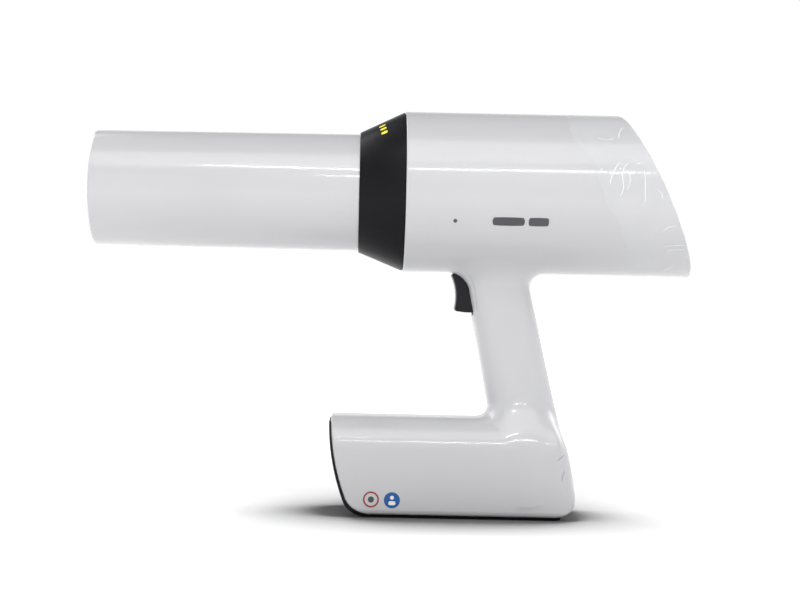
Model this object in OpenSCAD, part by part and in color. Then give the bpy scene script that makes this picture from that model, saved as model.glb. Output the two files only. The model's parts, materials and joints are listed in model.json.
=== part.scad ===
// Hand-held intraoral x-ray unit: cylindrical head, collimator tube, leaning handle and battery foot.
// +X points to the rear panel, the beam leaves towards -X, +Y is the right-hand side, +Z is up.
// The origin is at the middle of the whole unit's bounding box, on the surface it stands on.

/* [Overall] */
// Length from the collimator's open end to the tip of the rear rim
total_l = 335; // [330:1:340]
// Wall of the moulded housing
wall = 2.5; // [2:0.1:3]

/* [Head] */
// Outer radius of the cylindrical head
head_r = 45; // [44:0.5:46]
// Height of the head's axis above the ground
head_z = 181; // [180:0.5:182]
// Front edge of the head, behind the conical ring
head_front_x = 6; // [5:0.5:7]
// Angle of the slanted rear end from the vertical
rear_tilt = 24.75; // [23:0.25:26]

/* [Collimator] */
// Height of the beam's axis
beam_z = 180; // [179:0.5:181]
// Radius of the collimator tube at its open end
tube_mouth_r = 32.3; // [32:0.1:33]
// Radius of the collimator tube where the ring holds it
tube_root_r = 32.8; // [32.5:0.1:33.1]
// Radius of the bore at the open end, for a collimator insert
insert_bore_r = 30.6; // [30.2:0.1:30.8]
// Depth of that bore
insert_bore_l = 20; // [15:1:30]
// Distance from the focal spot to the tube's open end
focus_skin_l = 200; // [200:1:205]

/* [Ring] */
// Front edge of the conical ring
ring_front_x = -19; // [-20:0.5:-18]
// Radius of the ring's small end
ring_small_r = 33.7; // [33.5:0.1:34.2]
// Radius of the ring's large end
ring_large_r = 44.6; // [44:0.1:45]

/* [Handle] */
// Width of the handle from side to side
handle_w = 31; // [29:0.5:33]
// Rounding of the handle's corners
handle_corner_r = 12; // [10:0.5:14]

/* [Foot] */
// Width of the foot from side to side
foot_w = 54; // [52:1:58]
// Height of the foot's top
foot_top_z = 55; // [53:0.5:57]
// Thickness of the cover under the foot
cover_t = 1.7; // [1.5:0.1:2]

/* [Trigger] */
// Width of the trigger
trigger_w = 12; // [11:0.5:13]
// Travel of the trigger about its pin, in degrees
trigger_pull = 6; // [4:0.5:7]
// Radius of the trigger pin
trigger_pin_r = 1.5; // [1.2:0.1:1.8]

/* [Rear panel] */
// Travel of a panel button
button_travel = 0.8; // [0.5:0.1:1]
// Radius of the power button
power_r = 5.5; // [5:0.5:6]
// Radius of the other panel buttons
key_r = 4.5; // [4:0.5:5]

/* [Hidden] */
$fn = 96;

gap = 0.1;                                  // assembly gap between fixed pieces
mouth_x = -total_l / 2;
focus_x = mouth_x + focus_skin_l;
head_in_r = head_r - wall;
film_t = 0.2;
film_proud = 0.3;                           // how far the film stands past the rear rim
rear_tip_x = total_l / 2 - film_proud / cos(rear_tilt);
rear_x = rear_tip_x - head_r * tan(rear_tilt);    // where the slanted end crosses the head's axis

// A solid drawn along +Z, laid along +X from x at height z
module along_x(x, z = head_z) translate([x, 0, z]) rotate([0, 90, 0]) children();

// A side view drawn in X and Z, given a width across Y
module across_y(w) rotate([90, 0, 0]) translate([0, 0, -w / 2]) linear_extrude(w) children();

// A round rod along Y from y0 to y1
module rod_y(x, z, y0, y1, r) translate([x, y0, z]) rotate([-90, 0, 0]) cylinder(h = y1 - y0, r = r);

// A round solid about the beam's axis, from points given as [radius, x]
module turned(points, z = beam_z) along_x(0, z) rotate_extrude() polygon(points);

// A block given by its lowest and highest corners
module block(a, b) translate(a) cube(b - a);

// The frame of the rear panel: +Z out of the panel, +X down its slope, +Y to the right-hand side
module on_panel(d = 0) translate([rear_x, 0, head_z]) rotate([0, 90 - rear_tilt, 0])
    translate([0, 0, d]) children();

// The slice of the head's bore between two depths of the rear panel
module panel_slice(r, d0, d1) intersection() {
    along_x(60) cylinder(h = 130, r = r);
    on_panel(d0) translate([-90, -60, 0]) cube([180, 120, d1 - d0]);
}

// A line of constant thickness through side-view points
function unit(v) = v / norm(v);
function left_of(v) = [-v[1], v[0]];
function along(p, i) = unit(p[min(i + 1, len(p) - 1)] - p[max(i - 1, 0)]);
function stroke(p, t) = concat(
    [for (i = [0 : len(p) - 1]) p[i] + left_of(along(p, i)) * t / 2],
    [for (i = [len(p) - 1 : -1 : 0]) p[i] - left_of(along(p, i)) * t / 2]);

// Points along an arc, and a rectangle w by h about the origin with corners of radius r
function arc(centre, r, a0, a1, n) = [for (i = [0 : n])
    let (a = a0 + (a1 - a0) * i / n) centre + r * [cos(a), sin(a)]];
function round_rect(w, h, r, n = 6) = [for (q = [0 : 3])
    let (sx = q == 0 || q == 3 ? 1 : -1, sy = q < 2 ? 1 : -1)
    each arc([sx * (w / 2 - r), sy * (h / 2 - r)], r, 90 * q, 90 * (q + 1), n)];

// ---------------------------------------------------------------- outline of the housing

// The foot's front is a shallow arc, its two lower corners are round and its back leans forward.
foot_front_r = 127;
foot_front_centre = [94.8, 56.1];
foot_nose_r = 9;
foot_nose = [-13.9, foot_nose_r + cover_t];
foot_heel_r = 12;
foot_heel = [92, foot_heel_r + cover_t];
foot_back_top_x = 93.4;
foot_back_low = [103.2, 24];
nose_angle = 180 + atan2(foot_front_centre[1] - foot_nose[1], foot_front_centre[0] - foot_nose[0]);

module foot_side(g = 0) polygon(concat(
    arc(foot_front_centre, foot_front_r + g,
        180 + asin((foot_front_centre[1] - foot_top_z - g) / (foot_front_r + g)), nose_angle, 8),
    arc(foot_nose, foot_nose_r + g, nose_angle + 5, 270, 6),
    arc(foot_heel, foot_heel_r + g, 270, 360, 8),
    [foot_back_low + [g, 0], [foot_back_top_x + 0.73 * g, foot_top_z + g]]));

// Seen from the front, the foot has a strongly rounded top and small lower corners.
foot_top_r = 19;
foot_low_r = 5;
module foot_section(g = 0) {
    top = [foot_w / 2 - foot_top_r, foot_top_z - foot_top_r];
    low = [foot_w / 2 - foot_low_r, foot_low_r];
    polygon(concat(
        arc(top, foot_top_r + g, 0, 90, 10), arc([-top[0], top[1]], foot_top_r + g, 90, 180, 10),
        arc([-low[0], low[1]], foot_low_r + g, 180, 270, 4), arc(low, foot_low_r + g, 270, 360, 4)));
}

module foot_block(g = 0) intersection() {
    across_y(foot_w + 10) foot_side(g);
    translate([-60, 0, 0]) rotate([90, 0, 90]) linear_extrude(200) foot_section(g);
}

// The handle is two leaning prisms: the grip, and a steeper one whose back runs on into the foot.
// Each is [x of its middle, z of its lower end, lean in degrees, depth from front to back, length].
grip = [79.1, 40, 12.1, 35.6, 109.5];
grip_foot = [79.2, 50, 17.2, 33, 27];

module handle_prism(p, g) translate([p[0], 0, p[1]]) rotate([0, -p[2], 0]) linear_extrude(p[4])
    polygon(round_rect(p[3] + 2 * g, handle_w + 2 * g, handle_corner_r + g));

module handle_block(g = 0) {
    handle_prism(grip, g);
    handle_prism(grip_foot, g - 0.2);
}

module head_block(r) along_x(head_front_x + 0.2) cylinder(h = total_l / 2, r = r);

module housing_outside() {
    difference() {
        head_block(head_r);
        on_panel() translate([-90, -90, 0]) cube([180, 180, 90]);
    }
    handle_block();
    foot_block();
}

module housing_inside() {
    translate([-1, 0, 0]) head_block(head_in_r);
    handle_block(-wall);
    foot_block(-wall);
}

// ---------------------------------------------------------------- fixings of the housing

screw_r = 1.25;
screw_head_r = 2.6;
insert_r = 2.1;
insert_l = 8;
boss_r = 3;
// Side screws, as [x, z, reach of the boss on each side]
side_screws = [[69.5, 112, 13], [77, 64, 13], [-21, 40, 24], [93, 11, 24]];
// Cover screws, as [x, y]
cover_screw_spots = [for (x = [-11, 74], s = [-1, 1]) [x, s * 13]];
boss_top_z = 13;

pivot = [48, 129.5];
slot_w = trigger_w + 1;
pin_half_l = 9;

// The port in the back of the foot
port_w = 14;
port_low_z = 16;
flap_hinge = [97.3, 37];
flap_pin_r = 0.8;
flap_pin_half_l = port_w / 2 + 2.4;
knuckle_r = 1.6;
port_top_z = flap_hinge[1] + knuckle_r + 0.7;

module side_bosses() for (s = side_screws) rod_y(s[0], s[1], -s[2] - 3, s[2] + 3, boss_r);

module cover_bosses() for (p = cover_screw_spots)
    translate([p[0], p[1], cover_t]) cylinder(h = boss_top_z - cover_t, r = boss_r);

module pin_bosses() for (s = [-1, 1])
    rod_y(pivot[0], pivot[1], min(s * (slot_w / 2 + 0.3), s * 13), max(s * (slot_w / 2 + 0.3), s * 13), 3.2);

// Half rings that hold the lead jacket, notched below for the wires
jacket_r = 38.9;
module head_ribs() difference() {
    for (x = [30, 82]) difference() {
        along_x(x) cylinder(h = 2, r = head_in_r + 0.5);
        along_x(x - 1, beam_z) cylinder(h = 4, r = jacket_r + 0.3);
    }
    block([20, -9, 130], [95, 9, 150]);
}

module housing_solid() difference() {
    union() {
        difference() {
            housing_outside();
            housing_inside();
        }
        head_ribs();
        intersection() {
            union() {
                handle_block(-1);
                foot_block(-1);
            }
            union() {
                side_bosses();
                cover_bosses();
                pin_bosses();
            }
        }
    }
    // trigger slot
    block([30, -slot_w / 2, 111.5], [50.6, slot_w / 2, 135.7]);
    // pin, cover and side screw holes
    rod_y(pivot[0], pivot[1], -pin_half_l, pin_half_l, trigger_pin_r);
    for (p = cover_screw_spots) translate([p[0], p[1], 0]) cylinder(h = boss_top_z + 1, r = screw_r);
    for (s = side_screws) {
        rod_y(s[0], s[1], -s[2] + 3, s[2] + 6, screw_r + 0.05);
        rod_y(s[0], s[1], s[2] - 2, s[2] + 8, screw_head_r + 0.3);
        rod_y(s[0], s[1], -insert_l - 0.6, 0, insert_r);
    }
    // charging port and the holes for the flap's pin
    block([85, -port_w / 2, port_low_z], [112, port_w / 2, port_top_z]);
    rod_y(flap_hinge[0], flap_hinge[1], -flap_pin_half_l, flap_pin_half_l, flap_pin_r);
}

module housing_half(side) intersection() {
    housing_solid();
    block([-60, side < 0 ? -60 : 0, -1], [190, side < 0 ? 0 : 60, 240]);
}

module left_housing() color("white") housing_half(-1);
module right_housing() color("white") housing_half(1);

module threaded_inserts() color("goldenrod") for (s = side_screws) difference() {
    rod_y(s[0], s[1], -insert_l - 0.5, -0.5, insert_r - 0.02);
    rod_y(s[0], s[1], -insert_l - 1, 1, screw_r + 0.02);
}

module flat_screw(l, r, head) {
    cylinder(h = l, r = r);
    difference() {
        translate([0, 0, l - 0.01]) cylinder(h = 1.8, r = head);
        translate([0, 0, l + 0.7]) cylinder(h = 2, r = 1.2, $fn = 6);
    }
}

module housing_screws() color("dimgray") for (s = side_screws)
    translate([s[0], -insert_l - 1.5, s[1]]) rotate([-90, 0, 0])
        flat_screw(s[2] - 2 + gap + insert_l + 1.5, screw_r, screw_head_r);

module cover_screws() color("dimgray") for (p = cover_screw_spots)
    translate([p[0], p[1], 0]) difference() {
        union() {
            translate([0, 0, 0.25]) cylinder(h = 1.2, r1 = 2.4, r2 = 1.22);
            translate([0, 0, 1.4]) cylinder(h = 9, r = 1.22);
        }
        translate([0, 0, -0.1]) cylinder(h = 0.9, r = 0.9, $fn = 6);
    }

// ---------------------------------------------------------------- cover of the foot

// The cover is what is left between the foot's side view and the same view moved forward and down.
cover_front_t = 1;
cover_end_x = 95;
module foot_cover() color([0.08, 0.08, 0.09]) difference() {
    intersection() {
        across_y(foot_w + 10) difference() {
            translate([-cover_front_t, -cover_t]) foot_side();
            foot_side(0.05);
        }
        translate([-60, 0, 0]) rotate([90, 0, 90]) linear_extrude(60 + cover_end_x) foot_section();
        block([-60, -40, 0], [cover_end_x, 40, foot_top_z - 3]);
    }
    for (p = cover_screw_spots) translate([p[0], p[1], 0]) {
        translate([0, 0, -0.2]) cylinder(h = 1.6, r1 = 2.8, r2 = 1.32);
        cylinder(h = 3, r = 1.32);
    }
}

// ---------------------------------------------------------------- charging port

flap_t = 1.8;
flap_w = port_w - 0.6;

// The flap is a piece of the foot's own skin, hung from a knuckle along its top edge.
module port_flap() color("gainsboro") difference() {
    union() {
        across_y(flap_w) difference() {
            intersection() {
                foot_side();
                translate([80, port_low_z + 0.3]) square([40, flap_hinge[1] - port_low_z - 0.3]);
            }
            foot_side(-flap_t);
        }
        rod_y(flap_hinge[0], flap_hinge[1], -flap_w / 2, flap_w / 2, knuckle_r);
    }
    rod_y(flap_hinge[0], flap_hinge[1], -port_w, port_w, flap_pin_r + 0.05);
}

module flap_pin() color("silver")
    rod_y(flap_hinge[0], flap_hinge[1], -flap_pin_half_l, flap_pin_half_l, flap_pin_r);

charge_board_x = 81.4;
jack_face_x = 93.5;
jack_z = 25;
jack_depth = 7;
// A flat socket with a contact tongue in its mouth
module charge_jack() color([0.1, 0.1, 0.1]) {
    difference() {
        block([charge_board_x + 1.7, -5.8, jack_z - 3], [jack_face_x, 5.8, jack_z + 3]);
        translate([jack_face_x - jack_depth, 0, jack_z]) rotate([90, 0, 90]) linear_extrude(jack_depth + 1)
            polygon(round_rect(9, 3.2, 1.55, 3));
    }
    block([jack_face_x - jack_depth - 0.5, -3.3, jack_z - 0.35], [jack_face_x - 0.8, 3.3, jack_z + 0.35]);
}

module charge_board() color("seagreen")
    block([charge_board_x, -15, 14], [charge_board_x + 1.6, 15, 44]);

// ---------------------------------------------------------------- trigger group

finger_r = 29.4;
finger_centre = [7.2, 121.9];
plunger_z = 119.5;
web_back_x = 50;

module trigger() color([0.07, 0.07, 0.08]) difference() {
    union() {
        across_y(trigger_w) polygon([[30, 135.3], [44.5, 135.3], [web_back_x, 129], [web_back_x, 113.6],
            [39.5, 114.2], [35, 116.6]]);
        rod_y(pivot[0], pivot[1], -trigger_w / 2, trigger_w / 2, 3.6);
    }
    rod_y(finger_centre[0], finger_centre[1], -trigger_w, trigger_w, finger_r);
    rod_y(pivot[0], pivot[1], -20, 20, trigger_pin_r + 0.05);
}

module trigger_pin() color("silver") rod_y(pivot[0], pivot[1], -pin_half_l, pin_half_l, trigger_pin_r);

// A coil spring between the trigger's back and the switch bracket
spring_turns = 5;
spring_r = 1.6;
spring_wire_r = 0.3;
spring_x = [web_back_x + 0.35, 57.1];
spring_z = 124.2;
module trigger_spring() color("silver") {
    steps = 12;
    rings = spring_turns * steps;
    pitch = (spring_x[1] - spring_x[0] - 2 * spring_wire_r) / rings;
    points = [for (i = [0 : rings], k = [0 : 5])
        let (a = 360 * i / steps, b = 60 * k, r = spring_r + spring_wire_r * cos(b))
        [spring_x[0] + spring_wire_r + pitch * i + spring_wire_r * sin(b), r * cos(a), spring_z + r * sin(a)]];
    sides = [for (i = [0 : rings - 1], k = [0 : 5])
        [i * 6 + k, i * 6 + (k + 1) % 6, (i + 1) * 6 + (k + 1) % 6, (i + 1) * 6 + k]];
    polyhedron(points, concat(sides, [[5, 4, 3, 2, 1, 0], [for (k = [0 : 5]) rings * 6 + k]]));
}

// The switch stands clear of the trigger's web at the end of its travel.
switch_x = web_back_x + (pivot[1] - plunger_z) * sin(trigger_pull) + 1.6;
module trigger_switch() color([0.15, 0.15, 0.16]) difference() {
    block([switch_x, -6.4, plunger_z - 4.5], [switch_x + 6, 6.4, plunger_z + 2]);
    along_x(switch_x - 1, plunger_z) cylinder(h = 3.5, r = 1.3);
}

module switch_plunger() color("crimson")
    along_x(web_back_x + 0.2, plunger_z) cylinder(h = 3.6, r = 1);

module switch_bracket() color("silver") {
    block([switch_x + 6.1, -9, plunger_z - 7], [switch_x + 7.6, 9, plunger_z + 9]);
    block([switch_x + 7.6, -4, plunger_z + 7.5], [switch_x + 14, 4, plunger_z + 9]);
    // seat of the spring, and the post inside it
    along_x(spring_x[1] + gap, spring_z) cylinder(h = switch_x + 6.2 - spring_x[1], r = 2.2);
    along_x(switch_x + 2.6, spring_z) cylinder(h = 4, r = 1);
}

// ---------------------------------------------------------------- collimator and ring

rim_r = 1.5;
tube_bore_r = 30.1;
liner_t = 0.8;
liner_end_x = -8;
spigot_r = 31.3;
module collimator_tube() color("whitesmoke") turned([
    [insert_bore_r, mouth_x + 0.2],
    [insert_bore_r + 0.2, mouth_x],
    for (a = [0 : 15 : 90]) [tube_mouth_r - rim_r + rim_r * sin(a), mouth_x + rim_r - rim_r * cos(a)],
    [tube_root_r, ring_front_x - gap],
    [spigot_r, ring_front_x - gap],
    [spigot_r, ring_front_x + 12],
    [tube_bore_r, ring_front_x + 12],
    [tube_bore_r, mouth_x + insert_bore_l],
    [insert_bore_r, mouth_x + insert_bore_l]
]);

module tube_liner() color("slategray") along_x(mouth_x + insert_bore_l + 0.3, beam_z) difference() {
    cylinder(h = liner_end_x - mouth_x - insert_bore_l, r = tube_bore_r - gap);
    translate([0, 0, -1]) cylinder(h = total_l, r = tube_bore_r - gap - liner_t);
}

ring_z = (beam_z + head_z) / 2;
seal_x = 9;
module front_ring() color([0.06, 0.06, 0.07]) difference() {
    turned([
        [30, ring_front_x], [ring_small_r, ring_front_x], [ring_large_r, head_front_x],
        [head_in_r - 0.7, head_front_x], [head_in_r - 0.7, head_front_x + 6], [39.9, head_front_x + 6],
        [39.9, head_front_x - 3], [33.9, ring_front_x + 14.5], [30, ring_front_x + 14.5]
    ], ring_z);
    // socket for the tube, its stop, and the way through for the beam
    along_x(ring_front_x - 1, beam_z) cylinder(h = 1 + 12.2, r = spigot_r + 0.05);
    along_x(ring_front_x, beam_z) cylinder(h = 30, r = 29.2);
    along_x(seal_x) rotate_extrude() translate([head_in_r - 0.7, 0]) circle(r = 0.9, $fn = 32);
}

module ring_seal() color([0.2, 0.2, 0.2]) along_x(seal_x)
    rotate_extrude() translate([head_in_r - 0.85, 0]) circle(r = 0.72, $fn = 32);

// ---------------------------------------------------------------- rear panel

bezel_top = -0.8;
bezel_back = -3.3;
window_at = [-15, 0];
window_size = [32, 50];
// Buttons, as distance down the slope and to the right
power_at = [30, 0];
mode_at = [13, 0];
up_at = [14, -18];
down_at = [14, 18];
flange_t = 1.1;
button_gap = 0.3;

module plate(size, r, h) translate([window_at[0], window_at[1], 0]) linear_extrude(h)
    polygon(round_rect(size[0], size[1], r));

module rear_bezel() color("gainsboro") difference() {
    union() {
        panel_slice(head_in_r - 0.2, bezel_back, bezel_top);
        difference() {
            panel_slice(head_in_r - 0.2, -9, bezel_back);
            panel_slice(head_in_r - 2, -10, bezel_back + 1);
        }
    }
    on_panel(bezel_back - 1) plate(window_size + [0.3, 0.3], 3.15, 5);
    for (p = [mode_at, up_at, down_at]) on_panel(bezel_back - 1) translate([p[0], p[1], 0])
        cylinder(h = 5, r = key_r + button_gap);
    on_panel(bezel_back - 1) translate([power_at[0], power_at[1], 0]) cylinder(h = 5, r = power_r + button_gap);
}

module display_window() color([0.03, 0.03, 0.04]) on_panel(bezel_top - 2) plate(window_size, 3, 1.9);

module display_module() color([0.25, 0.27, 0.3]) on_panel(bezel_top - 5) plate(window_size - [1, 2], 1, 2.9);

// A button cap with a flange that keeps it behind the bezel
module button(at, r) on_panel() translate([at[0], at[1], 0]) {
    translate([0, 0, bezel_back - 0.2 - flange_t]) cylinder(h = flange_t, r = r + 1.2);
    translate([0, 0, bezel_back - 0.3]) cylinder(h = 0.3 - bezel_back, r = r);
    cylinder(h = 0.3, r1 = r, r2 = r - 0.3);
}

module power_button() color("limegreen") button(power_at, power_r);
module mode_button() color("silver") button(mode_at, key_r);
module up_button() color("silver") button(up_at, key_r);
module down_button() color("silver") button(down_at, key_r);

mat_top = bezel_back - 0.2 - flange_t - button_travel - 0.15;
module keypad_mat() color([0.3, 0.3, 0.32]) intersection() {
    panel_slice(38, mat_top - 1, mat_top);
    on_panel(mat_top - 1) translate([4, -30, 0]) cube([40, 60, 2]);
}

board_top = mat_top - 1.1;
module control_board() color("seagreen") panel_slice(38, board_top - 1.6, board_top);

module buzzer() color([0.1, 0.1, 0.1]) on_panel(board_top - 1.7 - 4) translate([22, 16, 0]) difference() {
    cylinder(h = 4, r = 5);
    translate([0, 0, -1]) cylinder(h = 2, r = 1);
}

// The film is a band around the rear end of the head that folds in over the rim.
film_l = 30;
film_lip = 4;
module protective_film() color([0.9, 0.95, 1, 0.3]) {
    difference() {
        panel_slice(head_r + 0.05 + film_t, -film_l, film_proud);
        panel_slice(head_r + 0.05, -film_l - 1, film_proud - film_t);
        panel_slice(head_r - film_lip, -film_l - 1, film_proud + 1);
    }
}

// ---------------------------------------------------------------- x-ray tank

tank_x = 12.5;
tank_end_x = 96;
tank_r = 37.5;
tank_in_r = 33.5;
tank_screw_pcd_r = 35.5;
port_r = 17;

module tank_screw_spots(x) for (a = [0 : 60 : 300]) along_x(x, beam_z) rotate([0, 0, a])
    translate([tank_screw_pcd_r, 0, 0]) children();

module tank_body() color("lightsteelblue") difference() {
    along_x(tank_x, beam_z) cylinder(h = tank_end_x - tank_x, r = tank_r);
    along_x(tank_x + 3, beam_z) cylinder(h = tank_end_x, r = tank_in_r);
    along_x(tank_x - 1, beam_z) cylinder(h = 6, r = port_r);
    tank_screw_spots(tank_end_x - 8) cylinder(h = 10, r = 1);
}

module tank_gasket() color([0.15, 0.15, 0.15]) difference() {
    along_x(tank_end_x, beam_z) cylinder(h = 0.5, r = tank_r - 0.1);
    along_x(tank_end_x - 1, beam_z) cylinder(h = 3, r = tank_in_r + 0.1);
    tank_screw_spots(tank_end_x - 1) cylinder(h = 3, r = 1);
}

module tank_lid() color("lightsteelblue") difference() {
    along_x(tank_end_x + 0.5, beam_z) cylinder(h = 3, r = tank_r);
    tank_screw_spots(tank_end_x - 1) cylinder(h = 6, r = 1);
    along_x(tank_end_x - 1, beam_z + 22) cylinder(h = 6, r = 2.5);
}

module tank_screws() color("silver") {
    tank_screw_spots(tank_end_x - 7) cylinder(h = 11, r = 0.98);
    tank_screw_spots(tank_end_x + 3.5) difference() {
        cylinder(h = 1.6, r = 1.9);
        translate([0, 0, 0.8]) cylinder(h = 2, r = 0.9, $fn = 6);
    }
}

module filler_screw() color("silver") {
    along_x(tank_end_x - 1, beam_z + 22) cylinder(h = 4.6, r = 2.48);
    along_x(tank_end_x + 3.5, beam_z + 22) cylinder(h = 2.4, r = 4, $fn = 6);
}

module expansion_bellows() color("saddlebrown") translate([0, 13, 0]) turned([
    [0, 89], [12, 89], [12, 90], [10.5, 90.8], [12, 91.6], [10.5, 92.4], [12, 93.2], [12, 95], [0, 95]
]);

module lead_jacket() color("gray") along_x(14, beam_z) difference() {
    cylinder(h = 80, r = jacket_r - 0.1);
    translate([0, 0, -1]) cylinder(h = 82, r = tank_r + 0.1);
}

module beam_window() color([0.85, 0.65, 0.25]) turned([
    [0, 21.5], [15, 21.5], [15, 10.9], [21, 10.9], [21, 12.4], [16.9, 12.4], [16.9, 23], [0, 23]
]);

module beam_filter() color("silver") along_x(19.4, beam_z) cylinder(h = 2, r = 14.9);

module beam_diaphragm() color("gray") turned([[3.3, 8.2], [20, 8.2], [20, 10.7], [3.6, 10.7]]);

glass_r = 9;
glass_half_l = 28;
module about_tube_axis() translate([focus_x, 0, beam_z]) rotate([-90, 0, 0]) children();

module tube_glass() color([0.8, 0.9, 0.95, 0.4]) about_tube_axis() difference() {
    union() {
        translate([0, 0, -20]) cylinder(h = 40, r = glass_r);
        translate([0, 0, 20]) cylinder(h = glass_half_l - 20, r1 = glass_r, r2 = 5);
        translate([0, 0, -glass_half_l]) cylinder(h = glass_half_l - 20, r1 = 5, r2 = glass_r);
    }
    translate([0, 0, -20]) cylinder(h = 40, r = glass_r - 1.2);
    translate([0, 0, 19.9]) cylinder(h = 7, r1 = glass_r - 1.2, r2 = 4.2);
    translate([0, 0, -26.9]) cylinder(h = 7, r1 = 4.2, r2 = glass_r - 1.2);
    translate([0, 0, -30]) cylinder(h = 60, r = 3.1);
}

target_angle = 20;
module target_frame() about_tube_axis() rotate([0, target_angle, 0]) children();

module anode() color([0.72, 0.45, 0.2]) difference() {
    about_tube_axis() {
        translate([0, 0, -4]) cylinder(h = 22, r = 5.5);
        cylinder(h = 31, r = 3);
    }
    target_frame() translate([-12, -12, -12]) cube([24, 24, 12]);
    target_frame() cylinder(h = 2, r = 3, center = true);
}

module target_disc() color("dimgray") target_frame() translate([0, 0, 0.05]) cylinder(h = 0.9, r = 2.9);

module cathode_cup() color("silver") about_tube_axis() difference() {
    union() {
        translate([0, 0, -18]) cylinder(h = 9, r = 5);
        translate([0, 0, -31]) cylinder(h = 14, r = 3);
    }
    translate([-3, -0.8, -11]) cube([6, 1.6, 3]);
}

module tube_cradle() color("ivory") {
    for (y = [-18, 14]) difference() {
        block([focus_x - 6, y, beam_z - 13], [48, y + 4, beam_z + 13]);
        translate([focus_x, y - 1, beam_z]) rotate([-90, 0, 0]) cylinder(h = 6, r = glass_r + 0.1);
    }
    block([48, -18, beam_z - 13], [50, 18, beam_z + 13]);
}

core_leg = 9.6;
core_y = -14;
leg_x = [61.5, 82.5];
module transformer_core() color([0.2, 0.2, 0.22]) difference() {
    block([leg_x[0] - core_leg / 2, core_y - core_leg / 2, beam_z - 21],
        [leg_x[1] + core_leg / 2, core_y + core_leg / 2, beam_z + 21]);
    block([leg_x[0] + core_leg / 2, core_y - 20, beam_z - 12], [leg_x[1] - core_leg / 2, core_y + 20, beam_z + 12]);
}

module transformer_windings() color([0.75, 0.4, 0.15]) for (x = leg_x) translate([x, core_y, beam_z]) difference() {
    cylinder(h = 23, r = 10.3, center = true);
    cube([core_leg + 0.3, core_leg + 0.3, 30], center = true);
}

module multiplier_board() color("seagreen") block([54, 10, beam_z - 21], [86, 11.6, beam_z + 21]);

module multiplier_parts() color("royalblue") for (i = [0 : 3], j = [0 : 3])
    rod_y(58.5 + 7.8 * i, beam_z - 15 + 10 * j, 11.7, 18, 3);

// ---------------------------------------------------------------- electronics in the head

module inverter_board() color("seagreen") difference() {
    along_x(104, head_z) cylinder(h = 1.6, r = 36);
    block([100, -9, 130], [110, 9, 152]);
}

module inverter_parts() color([0.15, 0.15, 0.3]) {
    for (s = [-1, 1]) along_x(105.7, head_z + 4) translate([0, s * 16, 0]) cylinder(h = 20, r = 7);
    along_x(105.7, head_z + 22) cylinder(h = 8, r = 7);
    block([105.7, -24, head_z - 18], [110.5, -12, head_z - 8]);
    block([105.7, 12, head_z - 18], [110.5, 24, head_z - 8]);
}

module heat_sink() color("silver") for (s = [-1, 1]) {
    block([105.7, s > 0 ? 12 : -26, head_z - 23], [122, s > 0 ? 26 : -12, head_z - 20.5]);
    for (k = [0 : 3]) translate([0, s * (13.5 + 3.7 * k), 0])
        block([105.7, -0.6, head_z - 29 + 1.2 * k], [122, 0.6, head_z - 22.9]);
}

// ---------------------------------------------------------------- battery in the foot

cell_r = 9.1;
cell_l = 65;
cell_x = -2.5;
cell_low_z = 15.6;
cell_pitch = 18.6;
tray_x = [-5.2, 65.2];
module cell_spots() for (s = [-1, 1], k = [0, 1])
    along_x(cell_x, cell_low_z + k * cell_pitch) translate([0, s * cell_pitch / 2, 0]) children();

module battery_tray() color([0.2, 0.2, 0.22]) difference() {
    block([tray_x[0], -20.2, 5.2], [tray_x[1], 20.2, 26]);
    block([tray_x[0] + 1.4, -18.8, 6.4], [tray_x[1] - 1.4, 18.8, 27]);
}

module battery_cells() color("steelblue") cell_spots() {
    cylinder(h = cell_l - 1, r = cell_r);
    translate([0, 0, cell_l - 1]) cylinder(h = 1, r = 3);
}

module cell_tabs() color("silver") for (x = [cell_x - 0.3, cell_x + cell_l + 0.1], s = [-1, 1])
    block([x, s * cell_pitch / 2 - 3, cell_low_z - 4], [x + 0.2, s * cell_pitch / 2 + 3, cell_low_z + cell_pitch + 4]);

module battery_board() color("seagreen") block([67, -10, 14], [68.6, 10, 44]);

// ---------------------------------------------------------------- wires

// Side-view route of the wires from the battery board, up the handle and under the tank
wire_path = [[69.8, 36], [75, 42], [82, 50], [84.5, 60], [82, 70], [75, 84], [67, 100], [62.5, 112], [63.5, 126],
    [67.5, 136.5], [72.5, 140.4], [78, 140.45], [94, 140.45], [101.5, 142], [102.7, 148], [102.7, 156]];
wire_r = 1.1;
module wire_tube(p, r, y) {
    sides = 8;
    points = [for (i = [0 : len(p) - 1], k = [0 : sides - 1]) let (n = left_of(along(p, i)), a = 360 * k / sides)
        [p[i][0] + n[0] * r * cos(a), y + r * sin(a), p[i][1] + n[1] * r * cos(a)]];
    last = (len(p) - 1) * sides;
    skin = [for (i = [0 : len(p) - 2], k = [0 : sides - 1])
        [i * sides + k, i * sides + (k + 1) % sides, (i + 1) * sides + (k + 1) % sides, (i + 1) * sides + k]];
    polyhedron(points, concat(skin, [[for (k = [sides - 1 : -1 : 0]) k], [for (k = [0 : sides - 1]) last + k]]));
}

module power_wires() {
    color("red") wire_tube(wire_path, wire_r, -6);
    color([0.1, 0.1, 0.1]) wire_tube(wire_path, wire_r, 6);
}

// Flat ribbon from the switch bracket to the control board, under the tank
ribbon_path = [[66.8, 126.6], [68, 133], [71.5, 138.8], [75, 139.9], [112, 139.9], [136, 141], [145, 146.5],
    [149.6, 152]];
module signal_ribbon() color("lightgray") across_y(8) polygon(stroke(ribbon_path, 0.5));

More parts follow.
